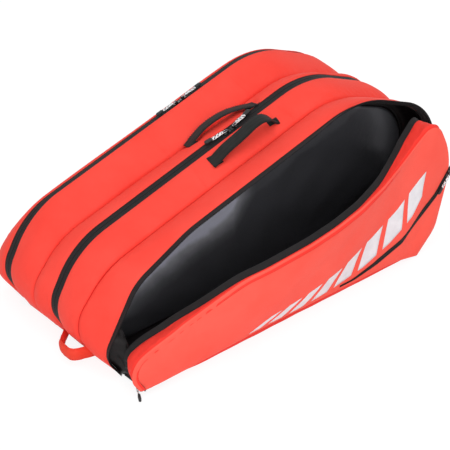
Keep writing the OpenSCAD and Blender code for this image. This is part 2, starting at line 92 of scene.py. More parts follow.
def coloured(tree, shader, share, tones):
    """Colour the surface by (place, hex colour) tones along a share that runs from 0 to 1."""
    made = add(tree, "ValToRGB", {0: share})
    band = made.color_ramp
    while len(band.elements) < len(tones):
        band.elements.new(0.5)
    for element, (position, code) in zip(band.elements, tones):
        element.position = position
        element.color = srgb(code)
    tree.links.new(made.outputs[0], shader.inputs["Base Color"])


def finish_of(name, sockets, cloud_mm=None, codes=None, reach=(0.3, 0.7)):
    """A material with its tree and its shader. Clouds of this size vary its colour between two hex colours,
    which are met at these heights of the cloud."""
    finish = bpy.data.materials.new(name)
    tree = emptied(finish)
    shader = add(tree, "BsdfPrincipled", sockets)
    add(tree, "OutputMaterial", {"Surface": shader.outputs[0]})
    if codes:
        coloured(tree, shader, mottle(tree, cloud_mm), tuple(zip(reach, codes)))
    return finish, tree, shader


def threads(tree, along_mm, across_mm):
    """Height of a plain weave, from threads at these spacings along and across the cloth's own map."""
    place = add(tree, "UVMap", uv_map="cloth")
    heights = [add(tree, "TexWave", {0: place.outputs[0], "Scale": WAVES_PER_METRE / pitch, "Distortion": 0.6,
                                     "Detail": 1.0, "Detail Scale": 1.5},
                   wave_type="BANDS", bands_direction=direction).outputs[1]
               for direction, pitch in (("X", along_mm), ("Y", across_mm))]
    return add(tree, "Math", {0: heights[0], 1: heights[1]}, operation="MULTIPLY").outputs[0]


def raised(tree, shader, *layers):
    """Shape the surface by (height, depth in mm) layers, the coarsest first."""
    under = {}
    for height, depth_mm in layers:
        made = add(tree, "Bump", {"Height": height, "Distance": depth_mm * MM, "Strength": 1.0, **under})
        under = {"Normal": made.outputs[0]}
    tree.links.new(made.outputs[0], shader.inputs["Normal"])


def coated_polyester(name, light, dark, coat):
    """600 denier polyester with a polyurethane coat on its back: a matt, even cloth with a faint soft sheen
    and a plain weave. Its threads lie 0.45 mm apart; they are drawn 1.6 mm apart so that they show."""
    finish, tree, shader = finish_of(name, {"IOR": 1.46, "Specular IOR Level": 0.1, "Sheen Weight": coat,
                                            "Sheen Roughness": 0.4, "Sheen Tint": srgb("#ffb0a0")},
                                     70, (dark, light))
    grain = add(tree, "MapRange", {"Value": mottle(tree, 5), "To Min": 0.5, "To Max": 0.64})
    tree.links.new(grain.outputs[0], shader.inputs["Roughness"])
    raised(tree, shader, (mottle(tree, 32, 4.0, 0.5), 0.7), (threads(tree, 1.6, 1.6), 0.12))
    return finish


def woven_tape(name, codes, pitch, depth):
    """Tightly woven polyester tape: near black, a low broad gloss along the ribs of its weave. The ribs lie
    0.6 mm apart on zip tape and 1.4 mm on webbing; both are drawn a little coarser."""
    finish, tree, shader = finish_of(name, {"Roughness": 0.68, "IOR": 1.5, "Specular IOR Level": 0.22,
                                            "Sheen Weight": 0.02}, 14, codes)
    raised(tree, shader, (threads(tree, pitch, pitch * 0.8), depth))
    return finish


def foil_film():
    """Aluminised polyester film laminated to foam: a broad blurred mirror, crinkled at 8 to 30 mm with a
    fine embossed grain. Its colour is painted light: a painted reflection, bright silver under the sloping
    upper seam, falling to painted shade, graphite, lower down and towards the head."""
    finish, tree, shader = finish_of("thermal_foil", {"Metallic": 0.5})
    place = add(tree, "TexCoord")
    at = add(tree, "SeparateXYZ", {0: place.outputs["Object"]})
    # Painted light: reflection painted under the upper seam, shade painted lower down and headward.
    slope = add(tree, "Math", {0: at.outputs[0], 1: -0.294, 2: at.outputs[2]}, operation="MULTIPLY_ADD")
    wander = add(tree, "MapRange", {"Value": mottle(tree, 60), "To Min": -0.018, "To Max": 0.018})
    height = add(tree, "Math", {0: slope.outputs[0], 1: wander.outputs[0]})
    rising = add(tree, "MapRange", {"Value": height.outputs[0], "From Min": 0.14, "From Max": 0.205})
    painted_shade_headward = add(tree, "MapRange", {"Value": at.outputs[0], "From Min": -0.055, "From Max": 0.0,
                                      "To Max": 0.85})
    share = add(tree, "Math", {0: rising.outputs[0], 1: painted_shade_headward.outputs[0]}, operation="SUBTRACT",
                use_clamp=True)
    coloured(tree, shader, share.outputs[0], ((0.0, "#525257"), (0.3, "#6c6c71"), (0.55, "#8e8e95"),
                                              (0.75, "#aeaeb6"), (0.92, "#dfdff0")))
    rub = add(tree, "MapRange", {"Value": mottle(tree, 24), "To Min": 0.3, "To Max": 0.42})
    tree.links.new(rub.outputs[0], shader.inputs["Roughness"])
    raised(tree, shader, (mottle(tree, 26, 5.0, 0.6), 1.1), (threads(tree, 2.0, 2.0), 0.05))
    return finish


def thin_lining():
    """190T polyester lining: thin, black, slightly glossy, full of small creases."""
    finish, tree, shader = finish_of("inner_lining_black", {"Roughness": 0.42, "Specular IOR Level": 0.2}, 40,
                                     ("#100c0d", "#1a1617"))
    raised(tree, shader, (mottle(tree, 18, 5.0, 0.55), 1.6), (threads(tree, 1.4, 1.4), 0.05))
    return finish


def lacquered_zinc():
    """Die-cast zinc slider under black lacquer: smooth, dark and glossy, with bright rub marks left faint."""
    finish, tree, shader = finish_of("lacquered_zinc", {"Metallic": 0.6, "Roughness": 0.3,
                                                        "Coat Weight": 0.4}, 3, ("#141415", "#2a2a2c"),
                                     (0.35, 0.75))
    raised(tree, shader, (mottle(tree, 1.5), 0.05))
    return finish


def nickel_wire():
    """Nickel-plated steel wire of the pulls' links: bright, slightly brushed."""
    return finish_of("nickel_wire", {"Metallic": 1.0, "Roughness": 0.24}, 2, ("#b4b6ba", "#dcdde0"))[0]


def jacquard_ribbon():
    """Jacquard ribbon, white with small black blocks: matt woven polyester."""
    finish, tree, shader = finish_of("jacquard_ribbon", {"Roughness": 0.75})
    place = add(tree, "UVMap", uv_map="cloth")
    blocks = add(tree, "TexChecker", {0: place.outputs[0], "Color1": srgb("#ededee"),
                                      "Color2": srgb("#1d1d20"), "Scale": PER_METRE / 4.2})
    slanted = add(tree, "Mapping", {0: place.outputs[0], "Rotation": (0, 0, math.radians(45))})
    twill = add(tree, "TexWave", {0: slanted.outputs[0], "Scale": WAVES_PER_METRE / 5.0, "Distortion": 1.5},
                wave_type="BANDS", bands_direction="X")
    cut = add(tree, "Math", {0: twill.outputs[1], 1: 0.62}, operation="GREATER_THAN")
    both = add(tree, "Mix", {0: cut.outputs[0], "A": srgb("#f0f0f1"), "B": blocks.outputs[0]},
               data_type="RGBA")
    tree.links.new(both.outputs["Result"], shader.inputs["Base Color"])
    raised(tree, shader, (threads(tree, 0.9, 0.9), 0.15))
    return finish


def soft_rubber():
    """Moulded thermoplastic rubber of the pull tips: black, matt, faintly dusty."""
    finish, tree, shader = finish_of("soft_rubber_black", {"Roughness": 0.62}, 6, ("#161617", "#232325"))
    raised(tree, shader, (mottle(tree, 1.2), 0.08))
    return finish


def moulded_nylon(name, codes, rough):
    """Moulded nylon or acetal, as in zip coils and strap buckles: dark with a low even gloss."""
    finish, tree, shader = finish_of(name, {"Roughness": rough, "IOR": 1.53, "Specular IOR Level": 0.3}, 9,
                                     codes)
    raised(tree, shader, (mottle(tree, 0.9), 0.04))
    return finish


def spacer_mesh():
    """Knitted spacer mesh over foam, on the side of a shoulder strap that meets the body: round holes 3.2
    mm apart in a dark, matt knit."""
    finish, tree, shader = finish_of("spacer_mesh_black", {"Roughness": 0.85, "Sheen Weight": 0.2})
    place = add(tree, "TexCoord")
    holes = add(tree, "TexVoronoi", {0: place.outputs["Object"], "Scale": PER_METRE / 3.2,
                                     "Randomness": 0.12})
    # Painted shade: the holes are coloured darker than the knit, for the shade inside them.
    coloured(tree, shader, holes.outputs[0], ((0.1, "#0c0c0d"), (0.45, "#2b2b2e")))
    raised(tree, shader, (holes.outputs[0], 0.9))
    return finish


def transfer_film():
    """White transfer film pressed onto the cloth: slightly raised, satin, with the weave showing through."""
    finish, tree, shader = finish_of("transfer_film_white", {"Roughness": 0.42}, 20, ("#dfdde2", "#edebef"))
    raised(tree, shader, (threads(tree, 1.6, 1.6), 0.05))
    return finish


def sewing_thread(name, codes):
    """Bonded nylon sewing thread, twisted from three plies: a fine silky gloss."""
    return finish_of(name, {"Roughness": 0.55, "Specular IOR Level": 0.2}, 4, codes)[0]


body_red = coated_polyester("coated_polyester_red", "#ff5145", "#fc493d", 0.02)
panel_red = coated_polyester("coated_polyester_panel", "#ff6355", "#fd5b4d", 0.03)
flap_red = coated_polyester("coated_polyester_flap", "#ff443a", "#fb3b32", 0.02)
base_red = coated_polyester("coated_polyester_base", "#f5453f", "#ee3c35", 0.02)
loop_red = coated_polyester("coated_polyester_loop", "#f04a38", "#e6402e", 0.03)
zip_black = woven_tape("zip_tape_black", ("#171516", "#1f1c1d"), 1.1, 0.16)
webbing_black = woven_tape("webbing_black", ("#181918", "#212221"), 1.9, 0.4)
foil = foil_film()
lining_black = thin_lining()
zinc = lacquered_zinc()
wire = nickel_wire()
ribbon_white = jacquard_ribbon()
rubber = soft_rubber()
coil_nylon = moulded_nylon("coil_nylon_black", ("#131214", "#1e1d1f"), 0.6)
buckle_acetal = moulded_nylon("buckle_acetal_black", ("#131315", "#1f1f22"), 0.35)
mesh_black = spacer_mesh()
film_white = transfer_film()
thread_red = sewing_thread("thread_red", ("#e83d33", "#f5524a"))
# Painted shade: the crimson cords stand for the shadow in the grooves of the creases and wall seams.
seam_shade_crimson = sewing_thread("seam_shade_crimson", ("#d81d16", "#e82a20"))
thread_black = sewing_thread("thread_black", ("#0f0f10", "#1e1e20"))

# ---- outlines of the bag, in millimetres: X along the bag, Y to the rear, Z up ----

# Every long line is held as this many points.
STATIONS = 420
# Y of the three zips, of the two creases between the compartments and of the side walls.
REAR, MIDDLE, FRONT = 146.0, 0.0, -146.0
FRONT_CREASE_Y, REAR_CREASE_Y = -73.0, 60.0
SIDE_Y = 212.0
# Half of a zip's width and of its slit, the depth of its solid tape, and how far the rear zip leans, in
# degrees.
TAPE_HALF = 11.0
SLIT_HALF = 0.4
TAPE_T = 1.4
REAR_TILT = 20.0
# Height of the foot of the dividers, of the rear wall and of the flap's ends.
FOOT_Z = 14.1
REAR_FOOT_Z = 12.0
FLAP_FOOT_Z = 14.6
# Thickness of the cloths: the body's, the side walls', the flap strip's, zip tape, thin lining and tacked
# lining.
BODY_T, WALL_T, STRIP_T, ZIP_T, LINING_T, TACKED_T = 1.4, 1.3, 0.7, 0.9, 0.5, 0.6
BASE_X = (-356.0, 302.0)
# The ends of the bag run down past the base to this height.
LOW_Z = 3.0
ZIP_CORNERS = ((-362, LOW_Z, 0), (-404, 84, 62), (-345, 186, 150), (185, 344, 190), (384, 262, 130),
               (390, 116, 150), (306, LOW_Z, 0))
# The open zip's fixed side, drawn in at the handle end.
OPEN_ZIP_CORNERS = ((-361, LOW_Z, 0), (-392, 52, 38), (-322, 170, 90), (-205, 230, 200)) + ZIP_CORNERS[3:]
SIDE_CORNERS = ((-356, LOW_Z, 0), (-386, 66, 50), (-338, 122, 100), (180, 270, 170), (345, 250, 95),
                (368, 120, 130), (302, LOW_Z, 0))
FLAP_CORNERS = ((-374, FLAP_FOOT_Z, 0), (-408, 68, 37), (-301, 108, 84), (-186, 173, 180), (85, 217, 300),
                (236, 240, 187), (325, 284, 34), (376, 187, 150), (341, 46, 50), (298, 4, 0))


def crease_corners(drop):
    """The crease between two compartments, drop mm lower along its top."""
    return ((-362, LOW_Z, 0), (-412, 84, 60), (-336, 172 - drop / 3, 140), (184, 325 - drop, 185),
            (378, 250, 112), (388, 120, 120), (308, LOW_Z, 0))


def unit(v):
    """Vectors at length one."""
    return v / np.maximum(np.linalg.norm(v, axis=-1, keepdims=True), 1e-9)


def rounded(corners, steps=24):
    """An open outline in X-Z from (x, z, radius) corners, each drawn in this many steps."""
    line = [np.array(corners[0][:2], float)]
    for before, corner, after in zip(corners, corners[1:], corners[2:]):
        tip = np.array(corner[:2], float)
        back, on = unit(np.array(before[:2]) - tip), unit(np.array(after[:2]) - tip)
        half = math.acos(float(np.clip(back @ on, -1, 1))) / 2
        centre = tip + unit(back + on) * corner[2] / math.sin(half)
        reach = corner[2] / math.tan(half)
        start, end = tip + back * reach - centre, tip + on * reach - centre
        first = math.atan2(start[1], start[0])
        turn = (math.atan2(end[1], end[0]) - first + math.pi) % (2 * math.pi) - math.pi
        for k in range(steps + 1):
            angle = first + turn * k / steps
            line.append(centre + corner[2] * np.array((math.cos(angle), math.sin(angle))))
    line.append(np.array(corners[-1][:2], float))
    return np.array(line)


def running(line):
    """The running length at each point of a line."""
    return np.concatenate(([0.0], np.cumsum(np.linalg.norm(np.diff(line, axis=0), axis=1))))


def even(line, count):
    """The same line as this many evenly spaced points."""
    line = np.asarray(line, float)
    length = running(line)
    at = np.linspace(0, length[-1], count)
    return np.stack([np.interp(at, length, line[:, k]) for k in range(line.shape[1])], 1)


def outward(rail):
    """Outward normals in X-Z of a rail that runs over the top towards +X."""
    d = unit(np.gradient(rail, axis=0))
    return np.stack((-d[:, 1], d[:, 0]), 1)


def in_space(rail, y):
    """A rail in X-Z as points in space at this Y."""
    return np.stack((rail[:, 0], np.broadcast_to(y, len(rail)).astype(float), rail[:, 1]), 1)


def smooth(values, width):
    """A running mean over this many points, with the ends held."""
    padded = np.pad(values, (width, width), mode="edge")
    kernel = np.hanning(2 * width + 1)
    return np.convolve(padded, kernel / kernel.sum(), mode="valid")


def along_flap(table):
    """A flap measure given at shares of its edge, eased between them."""
    return smooth(np.interp(SHARE, [t[0] for t in table], [t[1] for t in table]), 9)


SHARE = np.linspace(0, 1, STATIONS)
zip_rail = even(rounded(ZIP_CORNERS), STATIONS)
zip_out = outward(zip_rail)
open_rail = even(rounded(OPEN_ZIP_CORNERS), STATIONS)
side_rail = even(rounded(SIDE_CORNERS), STATIONS)
front_crease = even(rounded(crease_corners(0)), STATIONS)
rear_crease = even(rounded(crease_corners(9)), STATIONS)
flap_rail = even(rounded(FLAP_CORNERS), STATIONS)
flap_out = outward(flap_rail)
# The rear zip leans back, less so towards the two ends.
lean_share = np.interp(zip_rail[:, 0], (-385, -292, 122, 300, 385), (0.1, 1, 1, 0.45, 0.1))
rear_lean = np.radians(REAR_TILT * lean_share)
upright = np.zeros(STATIONS)
# How far the flap's edge hangs out at x, then the strip's width, its droop and the rise of the tape along
# the edge.
FLAP_BULGE = np.array(((-349, 2), (-290, 9), (-203, 36), (-131, 50), (-40, 59), (20, 59), (85, 53), (156, 37),
                       (225, 14), (262, 5), (300, 0)), float)
flap_bulge = smooth(np.interp(flap_rail[:, 0], FLAP_BULGE[:, 0], FLAP_BULGE[:, 1]), 9)
strip_width = along_flap(((0, 46), (0.06, 42), (0.1, 38), (0.15, 26), (0.2, 14), (0.28, 6), (0.46, 6),
                          (0.52, 8), (0.56, 10), (0.6, 15), (0.64, 21), (0.7, 34), (0.74, 48), (0.8, 53),
                          (1, 53)))
strip_droop = np.radians(along_flap(((0, 50), (0.04, 26), (0.1, 20), (0.5, 20), (0.56, 10), (0.62, 0),
                                     (0.66, 1), (0.7, 6), (0.76, 5), (0.82, 0), (1, 0))))
tape_rise = np.radians(along_flap(((0, 0), (0.06, 8), (0.18, 44), (0.56, 44), (0.64, 36), (0.7, 24),
                                   (0.76, 0), (1, 0))))


def beside_zip(y, lean, d, height=0.0, rail=zip_rail):
    """The line at distance d from the middle of the zip at y, standing this far out of it; lean tilts the
    zip."""
    up = -d * np.sin(lean) + height * np.cos(lean)
    out = outward(rail)
    return np.stack((rail[:, 0] + out[:, 0] * up, y + d * np.cos(lean) + height * np.sin(lean),
                     rail[:, 1] + out[:, 1] * up), 1)


def carried(points, d, angle):
    """Flap points carried d inwards, at an angle from level towards the flap's outward normal."""
    up = d * np.sin(angle)
    return points + np.stack((flap_out[:, 0] * up, d * np.cos(angle), flap_out[:, 1] * up), 1)


# A field of ripples is the sum of this many waves.
WAVES = 9


def ripples(u, v, length, seed, stretch=1.0):
    """A smooth field of about unit height with this wavelength in mm, stretched along u, the same every
    time."""
    draw = np.random.default_rng(seed)
    total = 0.0
    for angle, phase, pace in zip(draw.uniform(0, math.pi, WAVES), draw.uniform(0, 2 * math.pi, WAVES),
                                  draw.uniform(0.7, 1.4, WAVES)):
        way = u / stretch * math.cos(angle) + v * math.sin(angle)
        total = total + np.sin(way * 2 * math.pi * pace / length + phase)
    return total / math.sqrt(WAVES)


def spans(grid):
    """Running lengths along and across a grid of points."""
    u, v = np.zeros(grid.shape[:2]), np.zeros(grid.shape[:2])
    u[1:] = np.cumsum(np.linalg.norm(np.diff(grid, axis=0), axis=2), 0)
    v[:, 1:] = np.cumsum(np.linalg.norm(np.diff(grid, axis=1), axis=2), 1)
    return np.broadcast_to(u.mean(1, keepdims=True), u.shape), v


def between(low, high, share):
    """The grid of points between two lines of points, at these shares of the way from the first to the
    second."""
    return low[:, None] + (high - low)[:, None] * share[None, :, None]


def facing(grid, towards):
    """Unit normals of a grid of points, on the side that towards points to."""
    n = unit(np.cross(np.gradient(grid, axis=0), np.gradient(grid, axis=1)))
    return n if np.sum(n * towards) >= 0 else -n


# ---- meshes ----


def cloth_map(mesh, uv_mm):
    """Lay the cloth map, in metres, on a mesh from the map points of its vertices in mm."""
    layer = mesh.uv_layers.get("cloth") or mesh.uv_layers.new(name="cloth")
    corner = np.empty(len(mesh.loops), np.int32)
    mesh.loops.foreach_get("vertex_index", corner)
    layer.data.foreach_set("uv", (np.asarray(uv_mm, float)[corner] * MM).ravel())


def mesh_piece(name, verts_mm, faces, finish, uv_mm=None):
    """A smooth-shaded piece from points in mm, with its cloth map in metres."""
    mesh = bpy.data.meshes.new(name)
    mesh.from_pydata((np.asarray(verts_mm, float) * MM).tolist(), [], faces)
    for each in finish if isinstance(finish, tuple) else (finish,):
        mesh.materials.append(each)
    if uv_mm is not None:
        cloth_map(mesh, uv_mm)
    mesh.shade_smooth()
    mesh.update()
    piece = bpy.data.objects.new(name, mesh)
    bpy.context.collection.objects.link(piece)
    return piece


def lattice(rows, columns, ring=False):
    """Quads of a grid of points, closed across where it is a ring."""
    quads = []
    for i in range(rows - 1):
        this, following = i * columns, (i + 1) * columns
        for k in range(columns if ring else columns - 1):
            beside = (k + 1) % columns
            quads.append((this + k, following + k, following + beside, this + beside))
    return quads


def cloth_piece(name, grid, towards, finish, thick, inside=None):
    """A grid of points as cloth of this thickness in mm, its face on the side that towards points to."""
    raw = np.cross(np.gradient(grid, axis=0), np.gradient(grid, axis=1))
    if np.sum(raw * towards) < 0:
        grid = grid[:, ::-1]
    piece = mesh_piece(name, grid.reshape(-1, 3), lattice(*grid.shape[:2]),
                       (finish, inside) if inside else finish, np.stack(spans(grid), 2).reshape(-1, 2))
    layer = piece.modifiers.new("thickness", "SOLIDIFY")
    layer.thickness = thick * MM
    layer.offset = -1
    layer.use_even_offset = False
    if inside:
        layer.material_offset = 1
        layer.material_offset_rim = 1
    return piece


def put(piece, body, slot, *nodes, turns_at=None):
    """The piece moves with its body and stands for the nodes, which are hidden; slot is not used. Where it
    turns on the bag, it is left unattached, with its place baked into its points instead."""
    if turns_at:
        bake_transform(piece)
    else:
        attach(piece, body)
    if nodes:
        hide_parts(*nodes)
    return piece


def frames(line, up):
    """Two directions square to a line at each of its points, the first as near to up as it can be."""
    d = unit(np.gradient(line, axis=0))
    up = np.broadcast_to(np.asarray(up, float), line.shape)
    first = unit(up - d * np.sum(up * d, 1, keepdims=True))
    return first, np.cross(d, first)


def rod(line, radius, up, sides):
    """Points and faces of a round rod along a line; radius may vary along it. Its ends are closed."""
    line = np.asarray(line, float)
    a, b = frames(line, up)
    turn = np.linspace(0, 2 * math.pi, sides, endpoint=False)
    radius = np.broadcast_to(radius, len(line))[:, None, None]
    ring = a[:, None] * np.cos(turn)[None, :, None] + b[:, None] * np.sin(turn)[None, :, None]
    faces = [f[::-1] for f in lattice(len(line), sides, ring=True)]
    faces += [tuple(range(sides)), tuple(len(line) * sides - 1 - k for k in range(sides))]
    return (line[:, None] + ring * radius).reshape(-1, 3), faces


def bundle(name, parts, finish):
    """Several closed parts, each points and faces, as one piece."""
    verts, faces, count = [], [], 0
    for points, quads in parts:
        verts.append(points)
        faces.extend(tuple(count + k for k in q) for q in quads)
        count += len(points)
    verts = np.concatenate(verts)
    return mesh_piece(name, verts, faces, finish, verts[:, [0, 1]])


def right_way_out(piece):
    """Every face of a closed piece turned to face out."""
    work = bmesh.new()
    work.from_mesh(piece.data)
    bmesh.ops.recalc_face_normals(work, faces=work.faces)
    work.to_mesh(piece.data)
    work.free()
    return piece


def read_at(line, values, at):
    """The values given along a line, read at these running lengths."""
    return np.stack([np.interp(at, line, values[:, k]) for k in range(values.shape[1])], 1)


# Along a stitch, as shares of its length: its thread dips into the cloth and thins at both ends, as shares
# of its radius.
STITCH_AT = np.array((0.0, 0.25, 0.75, 1.0))
STITCH_RISE = np.array((-0.6, 0.55, 0.55, -0.6))
STITCH_GIRTH = np.array((0.5, 1, 1, 0.5))


def stitch_line(line, normals, pitch, length, radius):
    """Short stitches lying on the cloth along a line of points."""
    at = running(line)
    parts = []
    for start in np.arange(pitch, at[-1] - pitch, pitch):
        s = start + length * STITCH_AT
        lift = read_at(at, normals, s)
        points = read_at(at, line, s) + unit(lift) * (radius * STITCH_RISE)[:, None]
        parts.append(rod(points, radius * STITCH_GIRTH, lift[0], 4))
    return parts


# A coil's turns lie this far apart; its filament has this radius and is drawn with so many points to a turn.
COIL_PITCH = 1.7
COIL_WIRE = 0.34
COIL_STEPS = 6


def coil(line, side_way, out_way, width, height):
    """A nylon coil: one filament wound round a line, this wide and high."""
    count = int(running(line)[-1] / COIL_PITCH) * COIL_STEPS
    given, at = np.linspace(0, 1, len(line)), np.linspace(0, 1, count)
    across, out = read_at(given, side_way, at), read_at(given, out_way, at)
    turn = np.arange(count) * 2 * math.pi / COIL_STEPS
    points = even(line, count) + across * (np.cos(turn) * width / 2)[:, None]
    return rod(points + out * (np.sin(turn) * height / 2)[:, None], COIL_WIRE, out, 4)


# ---- frames of the fittings ----

# The closed zips' straight upper run climbs 158 mm over 530 mm, from this point.
RUN_LOW = (-345, 186)
RUN_LONG, RUN_RISE = 530, 158
SLOPE = math.degrees(math.atan2(RUN_RISE, RUN_LONG))
# A handle tilts on a line this far above the cloth.
TILT_LINE = 16.5


def turned(x=0.0, y=0.0, z=0.0):
    """A turn about X, then Y, then Z, in degrees."""
    return (Matrix.Rotation(math.radians(z), 4, "Z") @ Matrix.Rotation(math.radians(y), 4, "Y")
            @ Matrix.Rotation(math.radians(x), 4, "X"))


def moved(x=0.0, y=0.0, z=0.0):
    """A move in mm."""
    return Matrix.Translation((x, y, z))


def zip_height(x):
    """Height of the zips' straight upper run at x."""
    return RUN_LOW[1] + (x - RUN_LOW[0]) * RUN_RISE / RUN_LONG


def on_top(x, y, sink=0.0, roll=0.0, steeper=0.0, yaw=0.0):
    """Frame on the straight upper run, with X up the slope, sunk below the zips' line by so many mm."""
    z = zip_height(x) - sink / math.cos(math.radians(SLOPE))
    return moved(x, y, z) @ turned(roll, -SLOPE - steeper, yaw)


def set_in(frame_of, points):
    """Points in mm taken into a frame."""
    m = np.array(frame_of)
    return np.asarray(points, float) @ m[:3, :3].T + m[:3, 3]


def part_in(frame_of, part):
    """A closed part taken into a frame; its faces are turned over where the frame mirrors it."""
    points, faces = part
    if frame_of.determinant() < 0:
        faces = [tuple(f[::-1]) for f in faces]
    return set_in(frame_of, points), faces


# The handles' arches, as (along, up) in mm; then where each handle is sewn, how it leans there, how the cloth
# rolls under its ends, and its arch.
FRONT_ARCH = ((-78, -0.7), (-70, 0.6), (-57, 6.8), (-43, 13.2), (-24, 19.1), (-4, 25.4), (15, 33.0),
              (33, 36.4), (46, 33.5), (56, 24.0), (66, 7.0), (71, 0.2), (77, -0.7))
REAR_ARCH = ((-78, -0.7), (-71, 1.6), (-54, 8.0), (-34, 14.5), (-14, 17.2), (5, 17.6), (25, 15.0), (45, 9.5),
             (61, 3.6), (70, 0.2), (77, -0.7))
HANDLES = {"front": ((2, -45.5, 4.9, 16.6, -2.1, -9.8), -13.8, 4.7, FRONT_ARCH),
           "rear": ((11, 32, 8, -26.8, 3.3, -11), 10.1, 4.8, REAR_ARCH)}
# The webbing is sewn down over this length, centred this far from the middle; the front handle is folded over
# lengthwise at its right-hand end.
SEWN_X = 66.0
SEWN_HALF = 10.0


def handle_frame(place):
    """Frame of the line that a handle tilts on."""
    return on_top(*place) @ moved(0, 0, TILT_LINE)


def eased(share):
    """A share from 0 to 1, eased in and out."""
    return share * share * (3 - 2 * share)


def pressed(grid, place, roll):
    """The cloth pressed flat under the two sewn ends of a handle, and eased back to its own shape around
    them."""
    reach = 15
    for side in (-1, 1):
        at = np.array(handle_frame(place) @ turned(side * roll))
        near = (grid - at[:3, 3]) @ at[:3, :3]
        away = np.hypot(np.maximum(np.abs(near[:, :, 0] - side * SEWN_X) - SEWN_HALF - 1, 0),
                        np.maximum(np.abs(near[:, :, 1]) - reach, 0))
        over = np.clip(near[:, :, 2] + TILT_LINE, 0, 12) * (near[:, :, 2] < 6)
        near[:, :, 2] -= eased(np.clip(1 - away / reach, 0, 1)) * over
        grid = near @ at[:3, :3].T + at[:3, 3]
    return grid


# ---- padded cloth between a zip and a seam ----

# Across a cloth, as (sideways, height) in mm: the hem folded under beside a zip, the edge diving into a
# seam, the foot of a side wall rising from the base, and its upper edge rolling inwards.
HEM = ((2.0, -1.6), (-0.6, -1.1), (-1.7, -0.5), (-1.9, 0.2), (-1.4, 0.9), (-0.2, 1.3), (1.6, 1.5))
DIVE = ((3.0, 0.5), (1.9, -0.3), (1.2, -1.6), (0.75, -3.6), (0.5, -6.4), (0.4, -10.0))
FOOT = ((0.0, -3.0), (0.3, -1.2), (1.4, -0.2))
ROLL = ((7.0, 0.4), (3.6, 0.2), (1.7, -0.4), (0.6, -1.3), (0.3, -2.1), (1.0, -2.6), (4.0, -2.8), (10.0, -2.9))


def ends_eased(reach):
    """1 along the bag, falling to 0 over this share of it at both ends."""
    a, b = np.clip(SHARE / reach, 0, 1), np.clip((1 - SHARE) / reach, 0, 1)
    return np.sin(a * math.pi / 2) * np.sin(b * math.pi / 2)


def off_the_seams(share, reach):
    """0 on the folded rows at both seams of a cloth, 1 where it lies this share of its width away from
    them."""
    return np.where((share > 0) & (share < 1), np.minimum(1, np.minimum(share, 1 - share) / reach), 0)


def padded_strip(start, seam, side, crown, past, seed, cross_seams):
    """Grid of a padded strip from its hem line to its seam line, which lies past mm beyond the line given.
    cross_seams are seams sewn across it: (x at its start, x at its end)."""
    across = unit(seam - start)
    normal = side * unit(np.cross(np.gradient(start, axis=0) + np.gradient(seam, axis=0), seam - start))
    full = ends_eased(0.06)[:, None]
    rows, share = [], []
    for sideways, height in HEM:
        rows.append(start + across * sideways + normal * height)
        share.append(0.0)
    for f in np.linspace(0.05, 0.955, 30):
        arch = 1.5 + crown * math.sin(math.pi * f ** 1.1) ** 0.6 * full
        rows.append(start + (seam - start) * f + normal * arch)
        share.append(f)
    for out, height in DIVE:
        rows.append(seam + across * (past - out) + normal * height)
        share.append(1.0)
    grid = np.stack(rows, 1)
    share = np.array(share)
    u, v = spans(grid)
    left = np.linalg.norm(seam - start, axis=1)[:, None]
    from_zip, from_seam = share * left, (1 - share) * left
    # Broad swells, puckers along the seam and finer ones along the zip.
    free = off_the_seams(share, 0.12)
    lift = 1.3 * ripples(u, v, 120, seed, 1.7) * np.sin(math.pi * share) * full
    lift = lift + 0.8 * np.exp(-from_seam / 11) * ripples(u, v, 19, seed + 1, 0.8) * free
    lift = lift + 0.35 * np.exp(-from_zip / 8) * ripples(u, v, 12, seed + 2, 0.8) * free
    # A seam sewn across pulls a groove, with a soft swell on each side.
    for first, last in cross_seams:
        line = first + (last - first) * share - 14 * share * (1 - share)
        lift = lift - 1.5 * np.exp(-((grid[:, :, 0] - line) / 2.0) ** 2) * free
        lift = lift + 0.7 * np.exp(-((np.abs(grid[:, :, 0] - line) - 6) / 4.0) ** 2) * free
    return grid + facing(grid, normal[:, None]) * lift[:, :, None], normal


def side_wall(foot, edge, belly, seed):
    """Grid of a side panel from its foot at the base up to its edge seam, where it rolls inwards."""
    up = unit(edge - foot)
    normal = unit(np.cross(np.gradient(foot, axis=0) + np.gradient(edge, axis=0), edge - foot))
    tall = np.linalg.norm(edge - foot, axis=1)[:, None]
    full = ends_eased(0.12)[:, None]
    rows, share = [], []
    for rise, height in FOOT:
        rows.append(foot + up * rise + normal * height)
        share.append(0.0)
    for f in np.linspace(0.025, 1, 52):
        arch = 0.4 + belly * math.sin(math.pi * f ** 0.85) ** 0.9 * full
        rows.append(foot + up * (3 + (tall - 11) * f) + normal * arch)
        share.append(f * 0.97)
    for down, height in ROLL:
        rows.append(edge - up * np.minimum(down, tall * 0.4) + normal * height)
        share.append(1.0)
    grid = np.stack(rows, 1)
    share = np.array(share)
    u, v = spans(grid)
    # Broad swells, puckers along the upper seam and along the foot.
    free = off_the_seams(share, 0.08) * full
    lift = 2.2 * ripples(u, v, 150, seed, 1.5) * np.sin(math.pi * share) * full
    lift = lift + 0.8 * np.exp(-(1 - share) * tall / 14) * ripples(u, v, 24, seed + 1, 0.8) * free
    lift = lift + 0.7 * np.exp(-share * tall / 16) * ripples(u, v, 30, seed + 2, 0.8) * free
    return grid + facing(grid, normal[:, None]) * lift[:, :, None], normal


# The straight run of the pocket zips, as (x, z) from the upper stop to where the lowered pull ends.
POCKET_RUN = np.array(((372.0, 172.0), (278.0, 54.0)))
# The wall is flat within this distance of it, and has its full belly again at this one.
FLAT_WITHIN, FLAT_TO = 10, 44


